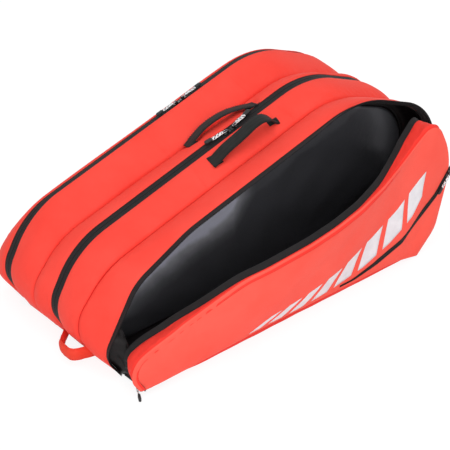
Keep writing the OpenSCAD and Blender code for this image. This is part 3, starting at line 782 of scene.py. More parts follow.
def flat_for_zip(grid, hand):
    """A side wall drawn flat along the pocket zip's straight run; hand is -1 in front and 1 at the rear."""
    a, b = POCKET_RUN
    at = grid[:, :, [0, 2]]
    along = np.clip((at - a) @ (b - a) / ((b - a) @ (b - a)), 0, 1)
    off = np.linalg.norm(at - a - along[:, :, None] * (b - a), axis=2)
    flat = grid.copy()
    outer = np.maximum(hand * grid[:, :, 1] - SIDE_Y - 0.2, 0)
    flat[:, :, 1] -= hand * outer * eased(np.clip((FLAT_TO - off) / (FLAT_TO - FLAT_WITHIN), 0, 1))
    return flat


# The hem beside each zip lies this far from the zip's middle; a seam lies this far inside its crease.
HEM_D = TAPE_HALF + 1.3
SEAM_IN = 2.3


def crease_line(rail, y, hand):
    """The seam on this hand of a crease at y."""
    return in_space(rail, y + hand * SEAM_IN)


# Each strip of the body: its name, the zip that it starts from, the zip's lean, the hand that it lies on,
# its seam, its crown, how far the seam lies past that line, its random seed and the seams sewn across it.
for name, zip_y, lean, hand, seam, crown, past, seed, cross in (
        ("rear_outer", REAR, rear_lean, 1, in_space(side_rail, SIDE_Y - 5.3), 7.0, 2.5, 11, ()),
        ("rear_inner", REAR, rear_lean, -1, crease_line(rear_crease, REAR_CREASE_Y, 1), 5.5, 2.3, 21,
         ((-92, -84), (104, 112))),
        ("middle_rear", MIDDLE, upright, 1, crease_line(rear_crease, REAR_CREASE_Y, -1), 5.0, 2.3, 31, ()),
        ("middle_front", MIDDLE, upright, -1, crease_line(front_crease, FRONT_CREASE_Y, 1), 5.0, 2.3, 41,
         ((-96, -104), (92, 108))),
        ("front_inner", FRONT, upright, 1, crease_line(front_crease, FRONT_CREASE_Y, -1), 5.0, 2.3, 51, ())):
    start = beside_zip(zip_y, lean, hand * HEM_D, 0.0, open_rail if zip_y == FRONT else zip_rail)
    grid, normal = padded_strip(start, seam, hand, crown, past, seed, cross)
    if name.startswith("middle"):
        place, _, roll, _ = HANDLES[name[7:]]
        grid = pressed(grid, place, roll)
    put(cloth_piece(f"{name}_strip", grid, normal[:, None], body_red, BODY_T, lining_black), "bag",
        "body_cloth", f"{name}_gusset")

# ---- zips ----

# Across half a zip: the fold over the teeth beside the slit, then flat tape under the cloth's hem.
TAPE_ROWS = ((SLIT_HALF, -1.0), (SLIT_HALF, -0.25), (0.6, 0.02), (1.2, 0.16), (3.2, 0.16), (4.0, 0.04),
             (5.2, 0.0), (8.0, 0.0), (11.0, -0.05), (13.6, -0.4))
# Only this width of an open half stands up; the rest is held by the hem.
FLARE_W = 7.5


def half_tape(zip_y, lean, hand, rail=zip_rail, flare=0.0):
    """Grid of half a zip's tape on one hand of its slit; flare is how far its free edge stands up, in mm."""
    rows = [beside_zip(zip_y, lean, hand * d, h + flare * max(0, 1 - d / FLARE_W), rail)
            for d, h in TAPE_ROWS]
    return np.stack(rows, 1)


def up_of(lean):
    """Outward direction of a zip at each station."""
    return np.stack((zip_out[:, 0] * np.cos(lean), np.sin(lean), zip_out[:, 1] * np.cos(lean)), 1)


for name, node, zip_y, lean in (("rear_zip", "rear_zip_tape", REAR, rear_lean),
                                ("middle_zip", "middle_zip_tape", MIDDLE, upright)):
    for word, hand in (("rearward", 1), ("forward", -1)):
        grid = half_tape(zip_y, lean, hand)
        put(cloth_piece(f"{name}_{word}_tape", grid, up_of(lean)[:, None], zip_black, ZIP_T), "bag",
            "zip_tape", node)
# How far the free edge of the open zip's fixed half stands up, at shares of its run.
flare = np.interp(SHARE, (0, 0.04, 0.14, 0.5, 0.6, 0.97, 1), (3, 4, 0, 0, 9, 9, 4))
grid = half_tape(FRONT, upright, 1, open_rail, flare)
put(cloth_piece("front_zip_fixed_tape", grid, up_of(upright)[:, None], zip_black, ZIP_T), "bag", "zip_tape",
    "front_inner_zip_tape")

# The binding that covers the hem's raw edge, inside the open compartment.
BINDING = ((9.5, -2.2), (11.2, -3.0), (14, -3.2), (19, -3.2), (24, -2.8))
grid = np.stack([beside_zip(FRONT, upright, d, h, open_rail) for d, h in BINDING], 1)[6:-6]
put(cloth_piece("open_hem_binding", grid, -up_of(upright)[6:-6, None], lining_black, TACKED_T), "bag",
    "inner_lining")

# Closed teeth and one half of them are this wide; both are this high, with their middle this far under the
# tape.
TEETH_W, HALF_TEETH_W, TEETH_H = 5.2, 2.8, 1.3
TEETH_DEEP = 0.7


def teeth(zip_y, lean, d, width, rail=zip_rail, lift=0.0):
    """Coil of teeth under the tape at distance d from a zip's middle."""
    line = beside_zip(zip_y, lean, d, lift - TAPE_T - TEETH_DEEP, rail)
    across = beside_zip(zip_y, lean, d + 1) - beside_zip(zip_y, lean, d)
    return coil(line, across, up_of(lean), width, TEETH_H)


put(bundle("closed_zip_teeth", [teeth(REAR, rear_lean, 0, TEETH_W), teeth(MIDDLE, upright, 0, TEETH_W)],
           coil_nylon), "bag", "zip_coil", "closed_zip_coils")
put(bundle("front_zip_fixed_teeth", [teeth(FRONT, upright, 2.0, HALF_TEETH_W, open_rail, flare * 0.7)],
           coil_nylon), "bag", "zip_coil", "front_inner_coil")

# The seams at the bottom of the two creases, and along the edges of the side walls, drawn as dark crimson
# cords: painted shade that stands for the shadow in each seam's groove.


def seam_shade_cord(rail, y, depth, radius):
    """A dark cord sunk this deep below a seam's line: painted shade for the shadow in its groove."""
    out = outward(rail)
    line = in_space(rail - out * depth, y)
    return rod(even(line[8:-8], 500), radius, ALONG_Y, 8)


seams = [seam_shade_cord(rear_crease, REAR_CREASE_Y, 1.0, 1.0), seam_shade_cord(front_crease, FRONT_CREASE_Y, 1.0, 1.0),
         seam_shade_cord(side_rail, SIDE_Y - 2.6, 1.0, 0.9)]
put(bundle("gusset_seam_shade_cords", seams, seam_shade_crimson), "bag", "body_cloth")

# ---- the fixed walls ----


def foot_line(y, z):
    """The line along the base that a side panel stands on."""
    return np.stack((-348 + SHARE * 636, np.full(STATIONS, y), np.broadcast_to(z, STATIONS).astype(float)), 1)


# The rear wall is worked out as a front one and turned to the rear.
grid, normal = side_wall(foot_line(-SIDE_Y - 1.5, REAR_FOOT_Z), in_space(side_rail, -SIDE_Y), 9.0, 61)
rear_wall = flat_for_zip(grid * (1, -1, 1), 1)
put(cloth_piece("rear_side_wall", rear_wall, (normal * (1, -1, 1))[:, None], panel_red, WALL_T, lining_black),
    "bag", "side_cloth", "rear_side_panel")


DIVIDER_T = 3.2


def divider_wall(name, rail, y, node):
    """A padded divider, sewn 9 mm down inside the crease; its two faces are quilted a little unevenly."""
    inner = rail - outward(rail) * np.minimum(9, 40 * SHARE * (1 - SHARE) * 4)[:, None]
    foot = np.stack((-352 + SHARE * 650, np.full(STATIONS, FOOT_Z)), 1)
    f = np.linspace(0, 1, 26)
    flat = between(foot, inner, f)
    waver = 0.8 * ripples(*spans(flat), 130, 71) * np.sin(math.pi * f)
    grid = np.stack((flat[:, :, 0], y + DIVIDER_T / 2 + waver, flat[:, :, 1]), 2)
    put(cloth_piece(name, grid, (0, 1, 0), lining_black, DIVIDER_T), "bag", "inner_lining", node)


divider_wall("rear_padded_divider", rear_crease, REAR_CREASE_Y, "rear_divider")
divider_wall("front_padded_divider", front_crease, FRONT_CREASE_Y, "front_divider")

# Foil lining of the open compartment, tacked along its edges to the front face of the divider.
foil_x, foil_z = rounded(crease_corners(0)).T
foil_rail = even(np.stack((foil_x * 0.968, FOOT_Z + (foil_z - FOOT_Z) * 0.965), 1), STATIONS)
foil_foot = np.stack((-344 + SHARE * 634, np.full(STATIONS, FOOT_Z + 0.2)), 1)
f = np.linspace(0, 1, 70)
flat = between(foil_foot, foil_rail, f)
u, v = spans(flat)
loose = np.sin(math.pi * np.clip(f, 0, 1)) ** 0.6 * ends_eased(0.1)[:, None]
sag = 1.4 + loose * (2.6 + 1.8 * ripples(u, v, 170, 81, 1.4) + 0.9 * ripples(u, v, 55, 82, 1.8))
foil_grid = np.stack((flat[:, :, 0], FRONT_CREASE_Y - 2.2 - np.maximum(sag, 0.3), flat[:, :, 1]), 2)
foil_sheet = put(cloth_piece("thermal_foil_lining", foil_grid, (0, -1, 0), foil, LINING_T), "bag",
                 "foil_lining", "thermal_lining")

# ---- the open flap ----

flap_edge = in_space(flap_rail, -SIDE_Y - flap_bulge)
# The flap's panel hangs over the front of the base, lowest at its two ends.
FLAP_FOOT = np.array(((-350, 14), (-336, 12), (-263, 12), (-188, 14.6), (-110, 16.6), (-33, 16.6), (44, 15.5),
                      (139, 14.4), (217, 14), (240, 12), (264, 8), (290, 2.5)), float)
flap_foot = foot_line(-SIDE_Y - 2.5, 0)
flap_foot[:, 2] = smooth(np.interp(flap_foot[:, 0], FLAP_FOOT[:, 0], FLAP_FOOT[:, 1]), 9)
flap_grid, flap_normal = side_wall(flap_foot, flap_edge, 7.0, 91)
flap_grid = flat_for_zip(flap_grid, -1)
put(cloth_piece("flap_side_wall", flap_grid, flap_normal[:, None], panel_red, WALL_T, lining_black),
    "front_flap", "side_cloth", "front_side_panel")

valley = carried(flap_edge, 2.8, -strip_droop)
strip_end = carried(flap_edge, strip_width - 0.3, -strip_droop)
across = unit(strip_end - valley)
strip_normal = unit(np.cross(np.gradient(flap_edge, axis=0), across))
wide = np.linalg.norm(strip_end - valley, axis=1)[:, None]
strip_crown = (0.4 + 3.2 * np.clip((wide - 16) / 30, 0, 1)) * ends_eased(0.06)[:, None]
rows, share = [], []
for out, height in DIVE[::-1]:
    rows.append(valley + across * out * np.minimum(1, wide / 26) + strip_normal * height)
    share.append(0.0)
# Where the strip is narrow, its rows stop short of the hem so that they don't fold back on themselves.
last = np.minimum(0.94, 1 - 1.8 / wide)
for t in np.linspace(0.17, 1, 24):
    f = last * t
    arch = 1.2 + strip_crown * np.sin(math.pi * f ** 0.8) ** 0.8
    rows.append(valley + (strip_end - valley) * f + strip_normal * arch)
    share.append(0.94 * t)
for sideways, height in HEM[::-1]:
    rows.append(strip_end - across * (sideways - 0.4) + strip_normal * height)
    share.append(1.0)
strip_grid = np.stack(rows, 1)
share = np.array(share)
u, v = spans(strip_grid)
free = off_the_seams(share, 0.2) * np.clip((wide - 4) / 16, 0, 1)
lift = (1.0 * ripples(u, v, 70, 95, 1.5) + 0.5 * ripples(u, v, 22, 96)) * free * ends_eased(0.05)[:, None]
strip_grid = strip_grid + facing(strip_grid, strip_normal[:, None]) * lift[:, :, None]
put(cloth_piece("flap_strip", strip_grid, strip_normal[:, None], flap_red, STRIP_T, lining_black),
    "front_flap", "body_cloth", "front_outer_gusset")

tape_root = carried(flap_edge, strip_width, -strip_droop)
tape_way = unit(carried(tape_root, 1.0, tape_rise) - tape_root)
tape_out = unit(np.cross(np.gradient(tape_root, axis=0), tape_way))
# The tape runs over these stations. It is 13.5 mm wide, and turns on edge towards the handle end's foot.
taped = slice(7, STATIONS - 36)
FULL_TAPE = 1.25
tape_wide = FULL_TAPE * np.interp(SHARE, (0, 0.02, 0.08, 1), (0.3, 0.45, 1, 1))[:, None]
rows = [tape_root + tape_way * (13.5 / FULL_TAPE - d + SLIT_HALF) * tape_wide + tape_out * h
        for d, h in TAPE_ROWS]
put(cloth_piece("flap_zip_tape", np.stack(rows, 1)[taped], tape_out[taped, None], zip_black, ZIP_T),
    "front_flap", "zip_tape", "front_outer_zip_tape")
teeth_line = (tape_root + tape_way * 9.6 * tape_wide - tape_out * 2.0)[taped]
flap_teeth = coil(teeth_line, tape_way[taped], tape_out[taped], HALF_TEETH_W, TEETH_H)
put(bundle("flap_zip_teeth", [flap_teeth], coil_nylon), "front_flap", "zip_coil", "front_outer_coil")

# The flap's lining is drawn in this many rows, from near its foot up towards its edge.
rows = 40
flat = between(foot_line(-SIDE_Y, FLAP_FOOT_Z), flap_edge, np.linspace(0.03, 0.88, rows))
u, v = spans(flat)
loose = np.maximum(0, 1.8 + 1.6 * ripples(u, v, 60, 101, 1.3) + 0.8 * ripples(u, v, 26, 102))
depth = 6.4 + loose * np.sin(math.pi * np.linspace(0, 1, rows)) * ends_eased(0.1)[:, None]
lining_grid = (flat - flap_normal[:, None] * depth[:, :, None])[10:-10]
flap_inside = put(cloth_piece("flap_inner_lining", lining_grid, -flap_normal[10:-10, None], lining_black,
                              TACKED_T), "front_flap", "inner_lining", "flap_lining")

# ---- bands ----


def section(width, thick, camber=0.0, sides=22):
    """Cross-section of a flat band with round edges, as (across, out) points."""
    turn = np.linspace(0, 2 * math.pi, sides, endpoint=False)
    across = np.sign(np.cos(turn)) * np.abs(np.cos(turn)) ** 0.35 * width / 2
    out = np.sign(np.sin(turn)) * np.abs(np.sin(turn)) ** 0.7 * thick / 2
    return np.stack((across, out + camber * (1 - (2 * across / width) ** 2)), 1)


def band(line, across, out, sections):
    """Closed band along a line; sections holds its cross-section at each point of the line."""
    across, out = np.broadcast_to(across, line.shape), np.broadcast_to(out, line.shape)
    sections = np.broadcast_to(sections, (len(line),) + np.shape(sections)[-2:])
    ring = line[:, None] + across[:, None] * sections[:, :, :1] + out[:, None] * sections[:, :, 1:]
    sides = ring.shape[1]
    faces = lattice(len(line), sides, ring=True)
    faces += [tuple(range(sides))[::-1], tuple((len(line) - 1) * sides + k for k in range(sides))]
    return ring.reshape(-1, 3), faces


def round_band_map(line, sides, pitch):
    """The cloth map of a band: along its line, and round its section at this pitch in mm."""
    return np.stack((np.repeat(running(line), sides), np.tile(np.arange(sides) * pitch, len(line))), 1)


# ---- carry handles: webbing sewn flat at both ends ----

# Width of the webbing, and where it is folded over lengthwise.
HANDLE_W = 30.0
FOLDED_W = 11.0
# Half the width of a sewn end and how far its middle lies to the side, where it is flat and where it is
# folded.
FLAT_END, FOLDED_END = (13.5, 0.0), (5.5, 9.0)
# Stitches: pitch, length and radius in mm.
HANDLE_STITCH = (4.6, 3.2, 0.3)
BOX_STITCH = (3.6, 2.6, 0.3)


def stitches_in(frame_of, line, out, sizes):
    """Stitches along a line that lie on the side that out points to, all given in a frame."""
    placed = set_in(frame_of, line)
    return stitch_line(placed, set_in(frame_of, line + out) - placed, *sizes)


for word, (place, lean, roll, arch) in HANDLES.items():
    line_frame = handle_frame(place)
    frame_of = line_frame @ turned(lean) @ moved(0, 0, -14)
    path = even(np.array(arch), 150)
    path = even(np.stack((smooth(path[:, 0], 9), smooth(path[:, 1], 9)), 1), 150)
    n = outward(path)
    path = path - n * 1.4
    f = np.linspace(0, 1, len(path))
    line, out = in_space(path, 0.5 * np.sin(f * 9)), in_space(n, 0)
    arched = np.sin(math.pi * f) ** 0.5
    fold = np.clip((path[:, 0] - 44) / 26, 0, 1) * (word == "front")
    wide = HANDLE_W - (HANDLE_W - FOLDED_W) * eased(fold)
    sections = np.stack([section(w - 0.8 * a, 2.6 + 1.6 * k, 1.1 * a) for a, w, k in zip(arched, wide, fold)])
    line[:, 1] += (HANDLE_W - wide) / 2
    points, faces = band(line, ALONG_Y, out, sections)
    handle = right_way_out(mesh_piece(f"{word}_handle_band", set_in(frame_of, points), faces, webbing_black,
                                      round_band_map(line, sections.shape[1], 2.6)))
    turns_at = [tuple(point) for point in set_in(frame_of, [(0, 0, 0.5), (0, 0, 14)]) * MM]
    put(handle, f"{word}_handle", "webbing", f"{word}_carry_handle", turns_at=turns_at)
    rows = []
    for side in (-1, 1):
        edge = line + np.array(ALONG_Y) * side * (wide[:, None] / 2 - 2.6) + out * 1.9
        rows += stitches_in(frame_of, edge[8:-8], out[8:-8], HANDLE_STITCH)
    put(right_way_out(bundle(f"{word}_handle_stitches", rows, thread_black)), f"{word}_handle", "webbing",
        turns_at=turns_at)
    patches, crosses = [], []
    for side in (-1, 1):
        at = line_frame @ turned(side * roll)
        half, middle = FOLDED_END if word == "front" and side > 0 else FLAT_END
        x = side * SEWN_X + np.linspace(-SEWN_HALF, SEWN_HALF, 12)
        flat = np.stack((x, np.full(12, middle), np.full(12, 0.9 - TILT_LINE)), 1)
        patches.append(part_in(at, band(flat, ALONG_Y, ALONG_Z, section(2 * half, 2.0))))
        a, b, z = SEWN_HALF - 2.5, half - 2.5, 2.0 - TILT_LINE
        for run in ([(-a, -b), (a, -b), (a, b), (-a, b), (-a, -b), (a, b)], [(-a, b), (a, -b)]):
            run = even(np.array([(side * SEWN_X + p, middle + q, z) for p, q in run]), 60)
            crosses += stitches_in(at, run, ALONG_Z, BOX_STITCH)
    put(right_way_out(bundle(f"{word}_handle_sewn_ends", patches, webbing_black)), "bag", "webbing",
        "handle_sewn_ends")
    put(right_way_out(bundle(f"{word}_handle_box_stitches", crosses, thread_black)), "bag", "webbing")

# ---- grab loop: a padded band on the handle end ----

# Half of the loop's width, the points round its section, and its stitches' pitch, length and radius.
LOOP_HALF = 13
LOOP_SIDES = 36
LOOP_STITCH = (4.2, 3.0, 0.32)
loop_path = even(rounded(((-84, -19, 0), (-72, 31, 16), (-34, 31, 30), (10, -19, 0)), 16), 130)
n = outward(loop_path)
loop_path = loop_path - n * 2.6
f = np.linspace(0, 1, len(loop_path))
line = np.stack((-384 - loop_path[:, 1], loop_path[:, 0], 24 + 2.5 * np.sin(math.pi * f)), 1)
out = np.stack((-n[:, 1], n[:, 0], np.zeros(len(n))), 1)
plump = np.clip(np.minimum(f, 1 - f) / 0.16, 0, 1) ** 0.6


def padded_section(full):
    """Cross-section of the padded loop: a plump middle between two stitched edges."""
    turn = np.linspace(0, 2 * math.pi, LOOP_SIDES, endpoint=False)
    across = np.sign(np.cos(turn)) * np.abs(np.cos(turn)) ** 0.75 * LOOP_HALF
    edge = np.abs(across) / LOOP_HALF
    height = 1.1 + (2.9 * full + 0.5) * np.clip(1 - (edge / 0.78) ** 2.2, 0, 1) ** 0.6
    height = height * np.clip(1 - edge ** 8, 0, 1) ** 0.5
    return np.stack((across, np.sign(np.sin(turn)) * height), 1)


points, faces = band(line, ALONG_Z, out, np.stack([padded_section(p) for p in plump]))
loop_map = round_band_map(line, LOOP_SIDES, 1.6)
u, v = loop_map.T
points = points + np.stack((0.35 * ripples(u, v, 16, 111), 0.35 * ripples(u, v, 18, 112), 0 * u), 1)
loop = right_way_out(mesh_piece("padded_grab_loop", points, faces, loop_red, loop_map))
# The loop turns where it is sewn on, in metres.
LOOP_TURN = ((-0.369, -0.04, 0.024), (-0.388, -0.04, 0.024))
put(loop, "end_loop", "body_cloth", "grab_loop", "loop_sewn_ends", turns_at=LOOP_TURN)
rows = []
for side in (-1, 1):
    for hand in (-1, 1):
        edge = line[4:-4] + np.array((0, 0, side * 10.9)) + out[4:-4] * hand * 1.5
        rows += stitch_line(edge, out[4:-4] * hand, *LOOP_STITCH)
put(right_way_out(bundle("grab_loop_stitches", rows, thread_red)), "end_loop", "body_cloth",
    turns_at=LOOP_TURN)

# ---- zip pulls ----

# Height of a slider's pin above its zip, length and half width of the wire link, width and thickness of the
# folded ribbon, and length, width, thickness and rib spacing of the rubber tip.
PIN = 5.0
LINK, LINK_HALF = 9.0, 2.6
RIBBON_W, RIBBON_T = 8, 2.2
TIP_LONG, TIP_W, TIP_T, RIB_PITCH = 16, 9.4, 4.9, 2.6


def pull_pieces(key, place, swing, long, body, aside, slim):
    """Wire link, folded ribbon and rubber tip of one pull, which lies towards -X of the slider's frame,
    turned aside by so many degrees; slim is its width, as a share of the main zips' pulls."""
    at = place @ moved(0, 0, PIN) @ turned(0, 0, aside) @ turned(0, swing, 0)
    turn = np.linspace(0, 2 * math.pi, 41)
    half, wide = LINK / 2 + 1.2, LINK_HALF * slim
    wire_line = np.stack((-LINK / 2 + half * np.sign(np.cos(turn)) * np.abs(np.cos(turn)) ** 0.6,
                          wide * np.sign(np.sin(turn)) * np.abs(np.sin(turn)) ** 0.6, 0 * turn), 1)
    link = part_in(at, rod(wire_line, 0.6, ALONG_Z, 8))
    f = np.linspace(0, 1, 34)
    x = -LINK + 0.8 - f * (long + 2.0)
    ribbon_line = np.stack((x, 0.35 * np.sin(f * 7), 0.35 * np.sin(f * 5 + 1) * np.sin(math.pi * f)), 1)
    pinch = 1 - 0.34 * np.exp(-(f / 0.12) ** 2) - 0.2 * np.exp(-((1 - f) / 0.1) ** 2)
    sections = np.stack([section(RIBBON_W * p * slim, RIBBON_T + 0.9 * (1 - p) * 3, 0.25, 16) for p in pinch])
    points, faces = band(ribbon_line, ALONG_Y, ALONG_Z, sections)
    uv = np.stack((points[:, 0], points[:, 1] + 30 * (points[:, 2] < 0)), 1)
    points, faces = part_in(at, (points, faces))
    put(right_way_out(mesh_piece(f"{key}_woven_pull", points, faces, ribbon_white, uv)), body, "woven_pull",
        PULL_NODE[key])
    put(right_way_out(bundle(f"{key}_pull_link", [link], wire)), body, "zip_slider_metal")
    f = np.linspace(0, 1, 60)
    shape = np.clip(np.minimum(1, (1 - f) * 4.5), 0, 1) ** 0.5 * np.clip(0.72 + f * 2.2, 0, 1)
    ribs = 1 - 0.09 * (np.sin(f * 15 * 2 * math.pi / RIB_PITCH) > 0.2) * ((f > 0.2) & (f < 0.8))
    tip_line = np.stack((-LINK - long + 1.0 - f * TIP_LONG, 0 * f, 0 * f), 1)
    sections = np.stack([section(TIP_W * slim * max(s, 0.05) * r, TIP_T * slim * max(s, 0.08) * r, 0.0, 24)
                         for s, r in zip(shape, ribs)])
    points, faces = part_in(at, band(tip_line, ALONG_Y, ALONG_Z, sections))
    put(right_way_out(mesh_piece(f"{key}_rubber_tip", points, faces, rubber)), body, "rubber_tip",
        TIP_NODE[key])


# The two sliders of a closed zip meet at this x, each with its middle this far from it.
MEET = 5.0
NOSE = 7.8
flip_x = Matrix.Scale(-1, 4, (1, 0, 0))
flip_y = Matrix.Scale(-1, 4, (0, 1, 0))
# The pocket's slider stands this far below the top of its zip, which climbs along this slope.
SLIDER_DOWN = 16
top_x, top_z = POCKET_RUN[0]
pocket_slope = math.atan2(top_z - 34, top_x - 262)
pocket_frame = (moved(top_x - SLIDER_DOWN * math.cos(pocket_slope), -SIDE_Y - 1.6,
                      top_z - SLIDER_DOWN * math.sin(pocket_slope))
                @ turned(90) @ turned(0, 0, math.degrees(pocket_slope)))
# The open zip's two sliders stand at the feet of its parked ends.
parked_a = moved(BASE_X[0] - TAPE_T, -186, 7) @ turned(0, -90) @ turned(0, 0, 90)
parked_b = moved(BASE_X[1] + TAPE_T, -106, 7) @ flip_y @ turned(0, 90) @ turned(0, 0, 90)
# Each pull: its name, its slider's frame, how far it hangs open in degrees, its ribbon's length and its body.
PULLS = (("rear_a", on_top(MEET - NOSE, REAR, 0, -REAR_TILT), 0, 24, "rear_pull_a"),
         ("rear_b", on_top(MEET + NOSE, REAR, 0, -REAR_TILT) @ flip_x, 0, 24, "rear_pull_b"),
         ("middle_a", on_top(MEET - NOSE, MIDDLE), 0, 24, "middle_pull_a"),
         ("middle_b", on_top(MEET + NOSE, MIDDLE) @ flip_x, 0, 24, "middle_pull_b"),
         ("front_a", parked_a, 28, 20, "front_pull_a"),
         ("front_b", parked_b, 0, 20, "front_pull_b"),
         ("front_pocket", pocket_frame, 0, 20, "front_pocket_pull"),
         ("rear_pocket", flip_y @ pocket_frame, 0, 20, "rear_pocket_pull"))
PULL_NODE = {key: (f"{key}_pull" if "pocket" in key else key.replace("_", "_pull_")) for key, *_ in PULLS}
TIP_NODE = {key: (f"{key}_tip" if "pocket" in key else key.replace("_", "_tip_")) for key, *_ in PULLS}
for key, place, swing, long, body in PULLS:
    aside, slim = -9 if "middle" in key else 0, 0.68 if "pocket" in key else 1.0
    pull_pieces(key, place, swing, long, f"{body}_body", aside, slim)

# ---- parked ends of the open zip, and the pocket zips ----

# The two halves of tape of each parked end lie between these heights, on the end of the base, and run from
# one stop to the other.
PARKED_HALVES = ((0.9, 6.1), (7.9, 13.1))
PARKED_STOPS = ((-203, -148), (-144, -89))
stub_parts = []
for x, hand, ends in zip(BASE_X, (-1, 1), PARKED_STOPS):
    for low, high in PARKED_HALVES:
        run = np.linspace(ends[0], ends[1], 20)
        flat = np.stack((np.full(20, x + hand * 0.7), run, np.full(20, (low + high) / 2)), 1)
        stub_parts.append(band(flat, ALONG_Z, (hand, 0.0, 0.0), section(high - low, 1.4)))
    for y in ends:
        stop = np.stack((np.full(6, x + hand * 0.9), np.full(6, y), np.linspace(1.6, 12.4, 6)), 1)
        stub_parts.append(rod(stop, 1.3, ALONG_Y, 8))
put(right_way_out(bundle("parked_zip_ends", stub_parts, zip_black)), "bag", "zip_tape", "zip_end_stubs")

# The pocket's zip, from where its tape runs out into the foot seam up to its upper stop.
POCKET_CORNERS = ((84, 26, 0), (118, 26, 60), (168, 38, 150), (232, 60, 150), (285, 87, 120), (334, 123, 70),
                  (372, 172, 0))
pocket_line = even(rounded(POCKET_CORNERS), 200)
pocket_out = outward(pocket_line)


def surface_of(grid):
    """A tree of the grid's faces, for finding its surface."""
    return BVHTree.FromPolygons(grid.reshape(-1, 3).tolist(), lattice(*grid.shape[:2]))


def laid_on(tree, x, z, hand, proud):
    """Points on a wall at these x and z, standing this proud of it; hand is -1 for the front and 1 for the
    rear."""
    found = []
    for a, b in zip(x, z):
        hit = tree.ray_cast(Vector((a, hand * 500, b)), Vector((0, -hand, 0)))[0]
        found.append((a, (hit.y if hit else hand * SIDE_Y) + hand * proud, b))
    return np.array(found)


flap_tree, rear_tree = surface_of(flap_grid), surface_of(rear_wall)
for word, body, hand, tree in (("front", "front_flap", -1, flap_tree), ("rear", "bag", 1, rear_tree)):
    parts = []
    side_way, facing_out = in_space(pocket_out, 0), in_space(pocket_out * 0, hand)
    # The two halves draw together at the foot.
    spread = np.clip(np.linspace(0, 1, len(pocket_line)) / 0.3, 0.3, 1)
    sections = np.stack([section(4.4 * k, 1.6, 0.0, 14) for k in spread])
    for side in (-1, 1):
        middle = pocket_line + pocket_out * side * (0.5 + 2.3 * spread[:, None])
        line = laid_on(tree, middle[:, 0], middle[:, 1], hand, 0.9)
        parts.append(band(line, side_way, facing_out, sections))
    put(right_way_out(bundle(f"{word}_pocket_zip_tapes", parts, zip_black)), body, "zip_tape",
        f"{word}_pocket_zip")
    line = laid_on(tree, pocket_line[:, 0], pocket_line[:, 1], hand, 0.5)
    pocket_teeth = coil(line, side_way, facing_out, HALF_TEETH_W, 0.9)
    put(right_way_out(bundle(f"{word}_pocket_zip_teeth", [pocket_teeth], coil_nylon)), body, "zip_coil")

# ---- base, straps and linings ----


def finished_mesh(piece):
    """The piece's mesh with its modifiers worked in."""
    graph = bpy.context.evaluated_depsgraph_get()
    made = bpy.data.meshes.new_from_object(piece.evaluated_get(graph))
    piece.modifiers.clear()
    piece.data = made
    return piece


def remeshed(name, node, voxel, finish, relax=4):
    """A soft copy of a CAD solid: its corners rounded off by an even mesh that is then relaxed."""
    mesh = bpy.data.objects[node].data.copy()
    mesh.name = name
    piece = bpy.data.objects.new(name, mesh)
    bpy.context.collection.objects.link(piece)
    mesh.materials.clear()
    mesh.materials.append(finish)
    cut = piece.modifiers.new("even", "REMESH")
    cut.mode = "VOXEL"
    cut.voxel_size = voxel * MM
    cut.use_smooth_shade = True
    ease = piece.modifiers.new("relax", "SMOOTH")
    ease.factor = 0.5
    ease.iterations = relax
    return finished_mesh(piece)


def read_points(values, name):
    """The points or normals that Blender keeps under this name, as rows of three."""
    flat = np.empty(len(values) * 3)
    values.foreach_get(name, flat)
    return flat.reshape(-1, 3)


def points_of(piece):
    """The piece's points in mm."""
    return read_points(piece.data.vertices, "co") / MM


def set_points(piece, points):
    """Move the piece's points to these, in mm."""
    piece.data.vertices.foreach_set("co", (points * MM).ravel())
    piece.data.update()


def normals_of(piece):
    """The piece's point normals."""
    return read_points(piece.data.vertex_normals, "vector")


base = remeshed("padded_base", "base_panel", 3.4, base_red)
points, way = points_of(base), normals_of(base)
points = points + way * (0.5 * ripples(points[:, 0], points[:, 1], 60, 121))[:, None]
points[:, 2] = np.clip(points[:, 2], 0.15, 14)
# Its long edges turn under in a quarter round, and its four corners are drawn in this far. It stays as it
# is up to this distance from the middle.
EDGE_ROUND = 14.0
CORNER_IN = 9
BASE_INNER = 170.0
x = points[:, 0]
drawn_in = CORNER_IN * (np.clip((-240 - x) / 76, 0, 1) ** 1.5 + np.clip((x - 262) / 40, 0, 1) ** 2)
base_y = SIDE_Y - 0.5
limit = base_y - drawn_in - EDGE_ROUND + np.sqrt(EDGE_ROUND ** 2 - (EDGE_ROUND - points[:, 2]) ** 2)
off = np.abs(points[:, 1])
pulled = BASE_INNER + (off - BASE_INNER) * (limit - BASE_INNER) / (base_y - BASE_INNER)
points[:, 1] = np.sign(points[:, 1]) * np.where(off > BASE_INNER, pulled, off)
set_points(base, points)
cloth_map(base.data, points[:, :2])
put(base, "bag", "body_cloth", "base_panel")

# A pad is blown up over this many frames.
CLOTH_STEPS = 20


def stuffed(name, node, finish, shrink, cap):
    """A foam-filled copy of a CAD pad, shrunk and then blown up as cloth, by cap mm at most, so that it is
    plump between its edges."""
    piece = remeshed(name, node, 4.5, finish, 2)
    start = points_of(piece)
    start = start - normals_of(piece) * shrink
    set_points(piece, start)
    cloth = piece.modifiers.new("cloth", "CLOTH")
    cloth.settings.quality = 5
    cloth.settings.use_pressure = True
    cloth.settings.uniform_pressure_force = 4
    cloth.settings.effector_weights.gravity = 0
    for step in range(CLOTH_STEPS):
        bpy.context.scene.frame_set(step + 1)
    finished_mesh(piece)
    bpy.context.scene.frame_set(1)
    step = points_of(piece) - start
    far = np.linalg.norm(step, axis=1, keepdims=True)
    set_points(piece, start + step * np.minimum(1, cap / np.maximum(far, 1e-6)))
    finer = piece.modifiers.new("finer", "SUBSURF")
    finer.levels = 1
    finer.render_levels = 1
    finished_mesh(piece)
    piece.data.shade_smooth()
    return piece


